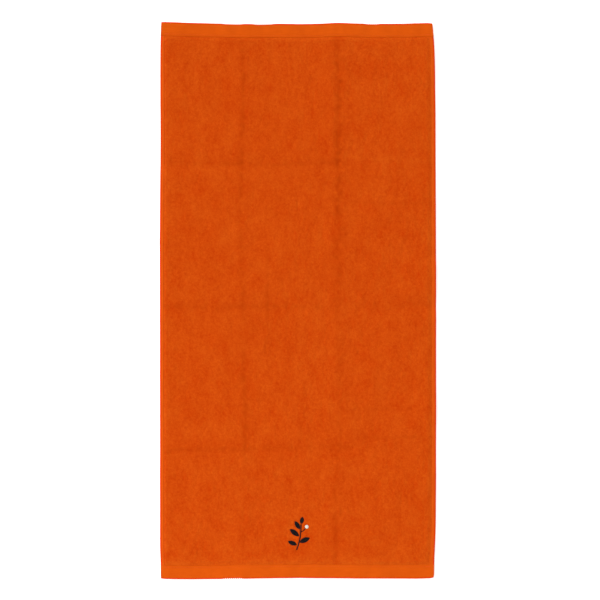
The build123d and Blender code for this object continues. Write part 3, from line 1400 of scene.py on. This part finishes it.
@dataclass
class TerryCloth:
    """The ground weave with its loops on both sides, as one closed sheet to each panel."""

    plan: Plan
    lay: Lay
    sprig: Sprig
    finishes: Finishes
    pitch: float = 2.2 * MM
    edge_steps_mm: tuple[float, ...] = (0.5, 1.1, 1.9, 3.0)
    sprig_columns: tuple[float, float] = (24 * MM, 1.1 * MM)
    sprig_rows: tuple[float, float] = (33 * MM, 1.2 * MM)
    end_rows: tuple[float, float] = (2.4 * MM, 0.8 * MM)
    nap_mm: float = 0.5
    clump_mm: float = 0.26
    tuft_mm: float = 0.24
    fuzz_mm: float = 0.14
    ledge_mm: float = 0.25
    back_nap_mm: float = 0.22
    back_press: float = 0.6
    back_loops: float = 0.45
    back_slope_mm: float = 2.2
    hollow_slope_mm: float = 1.2
    edges: tuple[PileEdge, ...] = (
        PileEdge((-1.0, 0.0), 4.5, 0.0),
        PileEdge((1.0, 0.0), 9.0, 0.14),
        PileEdge((0.0, -1.0), 7.0, 0.3, 11.0),
        PileEdge((0.0, 1.0), 6.0, 0.1),
    )

    def __post_init__(self) -> None:
        """Make the tables of relief."""
        self.clumps = Cloudy(31)
        self.tufts = Cloudy(37)

    def columns(self) -> Array:
        """Place the grid's columns, closer together at the hems and round the sprig.

        Returns:
            Their places across, in metres.
        """
        edge = self.plan.side_fold
        middle = stations(
            -edge + self.edge_steps_mm[-1] * MM,
            edge - self.edge_steps_mm[-1] * MM,
            self.pitch,
            [(self.sprig.centre[0] * MM, *self.sprig_columns)],
        )
        margin = np.array([0.0, *self.edge_steps_mm[:-1]]) * MM
        return np.concatenate((-edge + margin, middle, (edge - margin)[::-1]))

    def front(self, x: Array, y: Array) -> tuple[Array, Array]:
        """Shape the face: loops in clumps and streaks, sunk at creases and under the sprig, with shade
        painted along the creases.

        Args:
            x: places across, in metres.
            y: places along, in metres.

        Returns:
            The pile's height above the surface, and how much shade is painted on it, less near the hems,
            where the pile is paler.
        """
        depth, shade = self.lay.press(x, y)
        height = self.plan.pile_top - self.nap_mm * MM - depth + self.loops(x, y)
        cover = self.sprig.press(x, y)
        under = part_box("motif_underlay")[0].z - 0.1 * MM
        height = height * (1 - cover) + under * cover
        rise = np.ones_like(x)
        for edge in self.edges:
            away = edge.distance(self.plan, x, y) / MM
            rise = np.minimum(rise, smooth(away / edge.slope_mm))
            shade = shade - edge.paler * np.exp(-((away / edge.reach_mm) ** 2))
        floor = self.plan.weave_top + self.ledge_mm * MM
        return floor + (height - floor) * rise, shade

    def back(self, x: Array, y: Array) -> Array:
        """Shape the underside: shorter relief, with hollows for the fleece and the label.

        Args:
            x: places across, in metres.
            y: places along, in metres.

        Returns:
            The underside's height above the surface.
        """
        depth, _ = self.lay.press(x, y)
        height = self.back_nap_mm * MM + self.back_press * depth.clip(0)
        height = height - self.back_loops * self.loops(x + 1.3, y + 0.7)
        for node, room in (("motif_backing", 0.35 * MM), ("care_label", 0.45 * MM)):
            low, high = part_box(node)
            away = np.maximum.reduce([low.x - x, x - high.x, low.y - y, y - high.y])
            inside = np.clip(1.6 - away / (self.hollow_slope_mm * MM), 0.0, 1.0)
            height = height * (1 - inside) + (high.z + room) * inside
        share = np.clip(self.to_edge(x, y) / (self.back_slope_mm * MM), 0.0, 1.0)
        rise = np.sqrt(1 - (1 - share) ** 2)
        roof = self.plan.weave_bottom - 0.1 * MM
        return np.maximum(roof + (height - roof) * rise, 0.0)

    def loops(self, x: Array, y: Array) -> Array:
        """Return the relief of the loops, up to about half a millimetre either way."""
        return MM * (
            self.clump_mm * self.clumps.at(x, y, 0.0090, 0.0110)
            + self.tuft_mm * self.tufts.at(x, y, 0.0044, 0.0052)
            + self.fuzz_mm * self.tufts.at(x + 9.0, y + 9.0, 0.0021)
        )

    def to_edge(self, x: Array, y: Array) -> Array:
        """Return the distance to the nearest hem, in metres."""
        return np.minimum(self.plan.side_fold - np.abs(x), self.plan.end_fold - np.abs(y))

    def build(self, panel: Panel, nodes: Sequence[str]) -> bpy.types.Object:
        """Build the cloth of one panel.

        Args:
            panel: the panel.
            nodes: the parts that it stands for.

        Returns:
            The object.
        """
        columns = self.columns()
        ends = (-self.plan.end_fold, self.plan.end_fold)
        fine = [(self.sprig.centre[1] * MM, *self.sprig_rows), *[(end, *self.end_rows) for end in ends]]
        rows = panel.rows(self.pitch, fine)
        x, y = np.meshgrid(columns, rows)
        x, y = x.reshape(-1), y.reshape(-1)
        upper, shade = self.front(x, y)
        lower = self.back(x, y)
        draft = Draft(panel.name)
        # The face carries the painted crease shade, the back half of it.
        front = draft.add_points(np.column_stack((x, y, upper)), nap=shade)
        draft.add_grid(front, len(rows), len(columns))
        back = draft.add_points(np.column_stack((x, y, lower)), nap=0.5 * shade)
        draft.add_grid(back, len(rows), len(columns), turn=True)
        draft.add_walls(back, front, len(rows), len(columns))
        made = draft.build(self.finishes.terry, self.lay)
        panel.bends(made)
        return settled(made, nodes)


# ---- Hems and seams ----
@dataclass
class FoldedHem:
    """A double-fold hem: one strip of cloth turned over the edge, under, and in on itself.

    The crown makes its face slope down towards the edge; the rim is where it turns over, and shade is painted
    there.
    """

    plan: Plan
    width: float
    cloth: float = 0.72 * MM
    step: float = 1.6 * MM
    crown: float = 0.0
    crown_start: float = 0.35
    rim_shade_start: float = 3.0 * MM
    rim_shade_fade: float = 1.4 * MM

    def middle_line(self) -> tuple[Array, Array]:
        """Trace the middle of the cloth through its two turns.

        Returns:
            Points outward from the fold line by height, and the cloth's unit normals there.
        """
        half = self.cloth / 2
        top = self.plan.weave_top - half
        bottom = self.plan.hem_floor + half + 0.03 * MM
        inside = bottom + (top - bottom) / 2
        outer = (top - bottom) / 2
        inner = (inside - bottom) / 2
        outer_turn = self.width - outer - half
        inner_turn = inner + half + 0.2 * MM
        raw_edge = outer_turn - 0.5 * MM
        line, normal = [], []

        def straight(start: float, stop: float, height: float, face: float) -> None:
            """Add a straight run of cloth.

            Args:
                start: where it starts, outward.
                stop: where it ends, outward.
                height: how high it lies.
                face: 1 if its outer face looks up, -1 if it looks down.
            """
            for place in np.linspace(start, stop, max(3, round(abs(stop - start) / self.step))):
                line.append((place, height))
                normal.append((0.0, face))

        def turn(centre: float, height: float, radius: float, way: float) -> None:
            """Add a half turn of cloth.

            Args:
                centre: how far outward its centre is.
                height: how high its centre is.
                radius: its radius.
                way: 1 if it bulges outward, -1 if inward.
            """
            for angle in np.linspace(0.0, math.pi, 7)[1:-1]:
                outward = (way * math.sin(angle), way * math.cos(angle))
                line.append((centre + radius * outward[0], height + radius * outward[1]))
                normal.append(outward)

        straight(0.0, outer_turn, top, 1.0)
        turn(outer_turn, inside, outer, 1.0)
        straight(outer_turn, inner_turn, bottom, -1.0)
        turn(inner_turn, (inside + bottom) / 2, inner, -1.0)
        straight(inner_turn, raw_edge, inside, 1.0)
        return np.array(line), np.array(normal)

    def draft(
        self,
        name: str,
        rows: Array,
        place: Callable[[Array, Array], Array],
        relief: Callable[[Array, Array], Array],
        turn: bool,
    ) -> Draft:
        """Sweep the folded strip along its edge.

        Args:
            name: the piece's name.
            rows: places along the hem.
            place: turns distance outward and place along into a point across and along the towel.
            relief: how far the cloth stands out at each distance outward and place along.
            turn: whether the sweep's faces look the other way.

        Returns:
            The draft of the hem.
        """
        line, normal = self.middle_line()
        chain = np.concatenate((np.arange(len(line)), np.arange(len(line))[::-1]))
        face = np.concatenate((np.ones(len(line)), -np.ones(len(line))))
        out, along = np.meshgrid(line[chain, 0], rows)
        level = np.broadcast_to(line[chain, 1], out.shape)
        upper = (normal[chain, 1] > 0.5) & (line[chain, 1] > np.median(line[:, 1]))
        thick = self.cloth / 2 * face + relief(out, along) * upper
        above = np.clip(normal[chain, 1], 0.0, 1.0) * (line[chain, 1] > np.median(line[:, 1])) * (face > 0)
        thick = thick + self.crown * (self.crown_start - out / self.width) * above
        # Painted shade on the rim, where the cloth turns over the edge, fading inward and weaker on faces
        # that look down.
        rim = np.clip((out - self.width + self.rim_shade_start) / self.rim_shade_fade, 0.0, 1.0)
        rim = rim * np.clip(0.5 + 2.0 * normal[chain, 1], 0.0, 1.0)
        out = out + thick * normal[chain, 0]
        level = level + thick * normal[chain, 1]
        flat = place(out.reshape(-1), along.reshape(-1))
        draft = Draft(name)
        points = np.column_stack((flat[:, 0], flat[:, 1], level.reshape(-1)))
        first = draft.add_points(points, nap=rim.reshape(-1))
        columns = len(chain)
        draft.add_grid(first, len(rows), columns, turn=turn, closed=True)
        for row, cap_turn in ((0, not turn), (len(rows) - 1, turn)):
            near = first + row * columns + np.arange(len(line))
            far = first + row * columns + columns - 1 - np.arange(len(line))
            cap = np.stack((near[:-1], near[1:], far[1:], far[:-1]), -1)
            draft.add_faces(cap[:, ::-1] if cap_turn else cap, flat=True)
        return draft


@dataclass
class Seam:
    """A row of lockstitch: short bows of thread that dip into the cloth at each needle hole."""

    pitch: float = 3.2 * MM
    radius: float = 0.24 * MM
    bow: float = 0.16 * MM
    sink: float = 0.10 * MM
    sway: float = 0.05 * MM
    unevenness: float = 0.03

    def add(
        self,
        draft: Draft,
        start: Sequence[float],
        stop: Sequence[float],
        level: float,
        face: float,
        seed: int,
    ) -> None:
        """Add a straight row of stitches.

        Args:
            draft: the piece that they belong to.
            start: where the row starts, across and along, in metres.
            stop: where it ends.
            level: the height of the cloth's surface.
            face: 1 on the front, -1 on the back.
            seed: which random draw moves the needle holes.
        """
        a, b = np.array(start, float), np.array(stop, float)
        length = float(np.linalg.norm(b - a))
        count = max(2, round(length / self.pitch))
        draw = np.random.default_rng(seed)
        share = np.arange(count + 1) / count
        share[1:-1] += draw.normal(0.0, self.unevenness / count, count - 1)
        across = np.array([-(b - a)[1], (b - a)[0]]) / length
        sway = draw.normal(0.0, self.sway, count + 1)
        holes = a + share[:, None] * (b - a) + sway[:, None] * across
        t = np.linspace(0.05, 0.95, 7)[None, :, None]
        flat = holes[:-1, None, :] * (1 - t) + holes[1:, None, :] * t
        rise = self.bow * np.sin(math.pi * t) ** 0.7 - self.sink
        z = np.broadcast_to(level + face * rise, (count, t.shape[1], 1))
        draft.add_tubes(np.concatenate((flat, z), axis=2), self.radius, flatten=0.75)


@dataclass
class Edging:
    """The towel's hems, the seams that hold them and the backtacks at the seams' ends."""

    plan: Plan
    lay: Lay
    finishes: Finishes
    seam: Seam = field(default_factory=Seam)
    pucker_mm: float = 0.14
    side_ripple_mm: float = 0.10
    end_ripple_mm: tuple[float, float] = (0.16, 0.10)
    gather_mm: float = 0.22
    side_crown: float = 0.95 * MM
    scallop_mm: float = 1.5
    scallop_pitch_mm: float = 3.6
    tack_rows_mm: tuple[float, ...] = (-0.45, 0.0, 0.45)
    tack_length: float = 8 * MM
    scallops_mm: tuple[tuple[float, float], ...] = ((-138.0, -98.0), (-82.0, -42.0), (120.0, 150.0))

    def __post_init__(self) -> None:
        """Make the table of relief."""
        self.ripples = Cloudy(83)

    def side_hem(self, panel: Panel, side: float, name: str, nodes: Sequence[str]) -> bpy.types.Object:
        """Build the hem of one long edge along one panel.

        Args:
            panel: the panel.
            side: -1 on the left, 1 on the right.
            name: the piece's name.
            nodes: the parts that it stands for.

        Returns:
            The object.
        """
        seam_out = self._seam_offset()

        def place(out: Array, along: Array) -> Array:
            """Put a distance outward on the towel's side."""
            return np.column_stack((side * (self.plan.side_fold + out), along))

        def relief(out: Array, along: Array) -> Array:
            """Pinch the cloth at its stitches and let it ripple between them."""
            ripple = self.side_ripple_mm * MM * self.ripples.at(along, out + side, 0.012, 0.004)
            return self._puckers(out - seam_out, along) + ripple

        width = self.plan.half_width - self.plan.side_fold
        hem = FoldedHem(self.plan, width, step=1.0 * MM, crown=self.side_crown)
        draft = hem.draft(name, panel.rows(2.0 * MM), place, relief, turn=side > 0)
        made = draft.build(self.finishes.side_hem, self.lay)
        panel.bends(made)
        return settled(made, nodes)

    def end_hem(self, end: float, name: str, body: str, node: str) -> bpy.types.Object:
        """Build the wide hem of one end.

        Args:
            end: -1 at the bottom, 1 at the top.
            name: the piece's name.
            body: the quarter that it rides on.
            node: the part that it stands for.

        Returns:
            The object.
        """
        seam_out = abs(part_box(f"{node.split('_')[0]}_end_needle_thread")[0].y) - self.plan.end_fold
        depth = self.plan.half_length - self.plan.end_fold

        def place(out: Array, along: Array) -> Array:
            """Put places on the towel's end, with the small scallops of its edge.

            Args:
                out: distances outward of the fold line.
                along: places across the towel.

            Returns:
                The points across and along the towel.
            """
            edge = np.clip(out / depth * 4 - 3, 0.0, 1.0)
            pull = self.scallop_mm * MM * self._scallops(along, end) * edge
            return np.column_stack((along, end * (self.plan.end_fold + out - pull)))

        def relief(out: Array, along: Array) -> Array:
            """Pinch the cloth at its stitches, gather it behind its scallops and let it ripple.

            Args:
                out: distances outward of the fold line.
                along: places across the towel.

            Returns:
                How far the cloth stands out, in metres.
            """
            wide, narrow = self.end_ripple_mm
            waves = wide * self.ripples.at(along, out + end, 0.017, 0.012)
            waves = waves + narrow * self.ripples.at(along, out, 0.006)
            gathers = self.gather_mm * self._scallops(along, end) * np.clip(out / depth * 2 - 1, 0.0, 1.0)
            return self._puckers(out - abs(seam_out), along) + (waves - gathers) * MM

        hem = FoldedHem(self.plan, depth)
        rows = stations(-self.plan.half_width, self.plan.half_width, 0.9 * MM)
        made = hem.draft(name, rows, place, relief, turn=end < 0).build(self.finishes.end_hem, self.lay)
        return settled(made, [node], body)

    def _scallops(self, along: Array, end: float) -> Array:
        """Return the small regular waves of an end's edge, from 0 to 1, where its overlock shows.

        Args:
            along: places across the towel, in metres.
            end: -1 at the bottom, 1 at the top.

        Returns:
            How deep the edge dips.
        """
        shown = np.zeros_like(along)
        for first, last in self.scallops_mm if end > 0 else self.scallops_mm[:1]:
            fade = np.clip(np.minimum(along / MM - first, last - along / MM) / 6.0, 0.0, 1.0)
            shown = np.maximum(shown, fade)
        wave = 0.5 - 0.5 * np.cos(2 * math.pi * along / (self.scallop_pitch_mm * MM))
        return shown * wave

    def _seam_offset(self) -> float:
        """Return how far outward of the fold line the side seams run."""
        low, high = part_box("lower_right_needle_thread")
        return (low.x + high.x) / 2 - self.plan.side_fold

    def _puckers(self, away: Array, along: Array) -> Array:
        """Return the dimples that a row of stitches pulls in the cloth."""
        beat = 0.5 + 0.5 * np.cos(2 * math.pi * along / self.seam.pitch)
        return -self.pucker_mm * MM * (0.5 + 0.8 * beat) * np.exp(-((away / (1.1 * MM)) ** 2))

    def _faces(self) -> tuple[tuple[float, str, float], ...]:
        """Return each face's direction, the word for its thread and the cloth's height there."""
        return ((1.0, "needle", self.plan.weave_top), (-1.0, "bobbin", self.plan.hem_floor))

    def side_seams(
        self, panel: Panel, side: float, label: str, nodes: dict[str, list[str]]
    ) -> list[bpy.types.Object]:
        """Sew one long edge along one panel, on the front and on the back.

        Args:
            panel: the panel.
            side: -1 on the left, 1 on the right.
            label: the words that name the two pieces.
            nodes: the parts that each thread stands for, by its word.

        Returns:
            The needle thread and the bobbin thread.
        """
        x = side * (self.plan.side_fold + self._seam_offset())
        made = []
        for face, word, level in self._faces():
            draft = Draft(f"{label}_{word}_stitches")
            seed = int(panel.start * 1000) % 97 + 200
            self.seam.add(draft, (x, panel.start), (x, panel.stop), level, face, seed)
            thread = draft.build(self.finishes.sewing, self.lay)
            panel.bends(thread)
            made.append(settled(thread, nodes[word]))
        return made

    def end_seams(self, end: float, label: str, body: str) -> list[bpy.types.Object]:
        """Sew one end hem, with backtacks at both corners.

        Args:
            end: -1 at the bottom, 1 at the top.
            label: the end's word in the parts' names.
            body: the quarter that the thread rides on.

        Returns:
            The needle thread, the bobbin thread and the backtacks.
        """
        low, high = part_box(f"{label}_end_needle_thread")
        y = (low.y + high.y) / 2
        made = []
        for face, word, level in self._faces():
            draft = Draft(f"{label}_end_{word}_stitches")
            self.seam.add(draft, (low.x, y), (high.x, y), level, face, seed=300 + int(end))
            thread = draft.build(self.finishes.sewing, self.lay)
            made.append(settled(thread, [f"{label}_end_{word}_thread"], body))
        tacks = Draft(f"{label}_end_backtack_stitches")
        low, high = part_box(f"{label}_end_backtacks")
        for corner in (-1.0, 1.0):
            for row in self.tack_rows_mm:
                start = (corner * (high.x - self.tack_length), y + row * MM)
                stop = (corner * high.x, y + (row + 0.12) * MM)
                seed = int(400 + corner * 10 + row * 4)
                self.seam.add(tacks, start, stop, self.plan.weave_top + 0.06 * MM, 1.0, seed)
        thread = tacks.build(self.finishes.sewing, self.lay)
        made.append(settled(thread, [f"{label}_end_backtacks"], body))
        return made


@dataclass
class CareLabel:
    """Blank tape folded in two, sewn at its open end so that it can flap."""

    plan: Plan
    lay: Lay
    finishes: Finishes
    tape: float = 0.13 * MM
    rows: int = 22
    columns: int = 14

    def build(self) -> list[bpy.types.Object]:
        """Build the label and the stitches that hold it.

        Returns:
            Both pieces.
        """
        low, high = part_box("care_label")
        rise = (high.z - low.z - self.tape) / 2
        middle = (high.z + low.z) / 2
        along = np.linspace(low.y, high.y - rise - self.tape / 2, self.rows)
        bend = np.linspace(0.0, math.pi, 7)[1:-1]
        sine = np.concatenate((np.zeros(self.rows), np.sin(bend), np.zeros(self.rows)))
        cosine = np.concatenate((np.ones(self.rows), np.cos(bend), -np.ones(self.rows)))
        y = np.concatenate((along, along[-1] + rise * np.sin(bend), along[::-1]))
        z = middle + rise * cosine
        columns = np.linspace(low.x, high.x, self.columns)
        draft = Draft("label_tape")
        blocks = []
        for face in (1.0, -1.0):
            level = np.repeat(z + face * self.tape / 2 * cosine, self.columns)
            reach = np.repeat(y + face * self.tape / 2 * sine, self.columns)
            x = np.tile(columns, len(y))
            ripple = 0.03 * MM * np.sin(reach * 260.0 + x * 90.0)
            blocks.append(draft.add_points(np.column_stack((x, reach, level + ripple))))
            draft.add_grid(blocks[-1], len(y), self.columns, turn=face > 0)
        draft.add_walls(*blocks, len(y), self.columns)
        label = settled(draft.build(self.finishes.tape), ["care_label"], "label")

        low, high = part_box("label_seam_thread")
        stitches = Draft("label_seam_stitches")
        seam_y = (low.y + high.y) / 2
        seam = Seam(pitch=2.4 * MM)
        seam.add(stitches, (low.x, seam_y), (high.x, seam_y), self.plan.hem_floor, -1.0, seed=500)
        thread = stitches.build(self.finishes.sewing, self.lay)
        return [label, settled(thread, ["label_seam_thread"], "bottom_quarter")]


# ---- The whole towel ----
@dataclass
class Towel:
    """The towel, panel by panel."""

    plan: Plan
    finishes: Finishes
    narrow_bend: float = 7 * MM
    wide_bend: float = 13 * MM

    def panels(self) -> list[tuple[Panel, tuple[str, str]]]:
        """Cut the towel into three panels, each across one crease.

        Returns:
            Each panel and the words of the two quarters that it covers.
        """
        low, middle, high = self.plan.creases
        end = self.plan.end_fold
        cuts = (-end, (low + middle) / 2, (middle + high) / 2, end)
        names = ("cloth_bottom", "cloth_middle", "cloth_top")
        quarters = ("bottom", "lower", "upper", "top")
        bends = (self.narrow_bend, self.wide_bend, self.narrow_bend)
        made = []
        for i, crease in enumerate(self.plan.creases):
            words = quarters[i : i + 2]
            before, after = (f"{word}_quarter" for word in words)
            made.append((Panel(names[i], cuts[i], cuts[i + 1], crease, before, after, bends[i]), words))
        return made

    def build(self) -> None:
        """Build every piece of the towel."""
        lay = Lay(self.plan)
        sprig = Sprig(lay, self.finishes)
        terry = TerryCloth(self.plan, lay, sprig, self.finishes)
        edging = Edging(self.plan, lay, self.finishes)
        ends = {}
        for sign, word in ((-1.0, "bottom"), (1.0, "top")):
            body = f"{word}_quarter"
            hem = edging.end_hem(sign, f"{word}_end_hem_cloth", body, f"{word}_end_hem")
            ends[word] = [hem, *edging.end_seams(sign, word, body)]
        for panel, words in self.panels():
            layers = ("ground_weave", "front_pile", "back_pile")
            cloth = terry.build(panel, [f"{word}_{layer}" for word in words for layer in layers])
            trimmings = []
            for side, hand in ((-1.0, "left"), (1.0, "right")):
                label = f"{panel.name}_{hand}"
                hems = [f"{word}_{hand}_hem" for word in words]
                trimmings.append(edging.side_hem(panel, side, f"{label}_hem", hems))
                nodes = {
                    thread: [f"{word}_{hand}_{thread}_thread" for word in words]
                    for thread in ("needle", "bobbin")
                }
                trimmings += edging.side_seams(panel, side, label, nodes)
            for word in set(words) & set(ends):
                trimmings += ends[word]
            panel.stop - panel.start
        sprig.build()
        CareLabel(self.plan, lay, self.finishes).build()


@dataclass(frozen=True)
class Studio:
    """Pale floor, soft lights and a camera that looks straight down."""

    view_width: float = 1.0882
    lens_mm: float = 85.0
    sensor_mm: float = 36.0
    camera_offset: tuple[float, float] = (3.63 * MM, 1.81 * MM)
    key_direction: tuple[float, float, float] = (-0.66, 0.45, 0.60)
    key_power: float = 2.40
    key_softness: float = math.radians(20.0)
    room_low: Color = (1.0, 1.0, 1.0)
    room_high: Color = (0.25, 0.25, 0.25)
    fill_size: tuple[float, float] = (1.4, 1.0)
    floor_reach: float = 40.0
    floor_level: float = -0.7 * MM

    def build(self) -> None:
        """Build the floor, the lights, the surroundings and the camera."""
        self._floor()
        self._key_light()
        self._fill_light("low_fill", (-0.55, -1.5, 1.4), 13.0)
        self._fill_light("high_fill", (0.1, 1.5, 1.4), 6.0)
        self._surroundings()
        self._camera()
        bpy.context.scene.view_settings.view_transform = "Standard"

    def _key_light(self) -> None:
        """Hang a wide, soft, distant light at the upper left."""
        data = bpy.data.lights.new("key", "SUN")
        data.energy = self.key_power
        data.angle = self.key_softness
        light = bpy.data.objects.new("key", data)
        light.rotation_euler = Vector(self.key_direction).to_track_quat("Z", "Y").to_euler()
        bpy.context.scene.collection.objects.link(light)

    def _surroundings(self) -> None:
        """Light the towel from a pale room, brighter near its walls than overhead."""
        world = bpy.data.worlds.new("studio_room")
        graph = ShaderGraph(world)
        direction = graph.node("ShaderNodeTexCoord", output="Generated")
        _, _, height = graph.axes(direction)
        color = graph.mix(height.ranged(0.2, 0.8), self.room_low, self.room_high)
        room = graph.node("ShaderNodeBackground", None, {"Color": color, "Strength": 1.0})
        graph.node("ShaderNodeOutputWorld", None, {"Surface": room})
        bpy.context.scene.world = world

    def _floor(self) -> None:
        """Build the floor just under the towel, low enough for the label to lie on it when it flaps out."""
        mesh = bpy.data.meshes.new("studio_floor")
        reach, level = self.floor_reach, self.floor_level
        corners = [(x * reach, y * reach, level) for x, y in ((-1, -1), (1, -1), (1, 1), (-1, 1))]
        mesh.from_pydata(corners, [], [(0, 1, 2, 3)])
        mesh.materials.append(FloorFinish().material())
        floor = bpy.data.objects.new("studio_floor", mesh)
        bpy.context.scene.collection.objects.link(floor)

    def _fill_light(self, name: str, place: Sequence[float], power: float) -> None:
        """Hang a rectangular soft light that faces the middle of the towel.

        Args:
            name: the light's name.
            place: where it hangs.
            power: its power, in watts.
        """
        data = bpy.data.lights.new(name, "AREA")
        data.shape = "RECTANGLE"
        data.size, data.size_y = self.fill_size
        data.energy = power
        light = bpy.data.objects.new(name, data)
        light.location = place
        light.rotation_euler = Vector(place).to_track_quat("Z", "Y").to_euler()
        bpy.context.scene.collection.objects.link(light)

    def _camera(self) -> None:
        """Set the camera straight above the towel, its top towards +Y."""
        data = bpy.data.cameras.new("studio_camera")
        data.lens = self.lens_mm
        data.sensor_width = self.sensor_mm
        data.clip_end = 2.5 * self.floor_reach
        camera = bpy.data.objects.new("studio_camera", data)
        distance = self.view_width * self.lens_mm / self.sensor_mm
        camera.location = (*self.camera_offset, distance)
        bpy.context.scene.collection.objects.link(camera)
        bpy.context.scene.camera = camera


def main() -> None:
    """Build the towel and its studio."""
    logging.basicConfig(level=logging.INFO, format="%(name)s: %(message)s")
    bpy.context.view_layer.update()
    Towel(Plan.from_frame(), Finishes.mixed()).build()
    Studio().build()


if __name__ == "__main__":
    main()
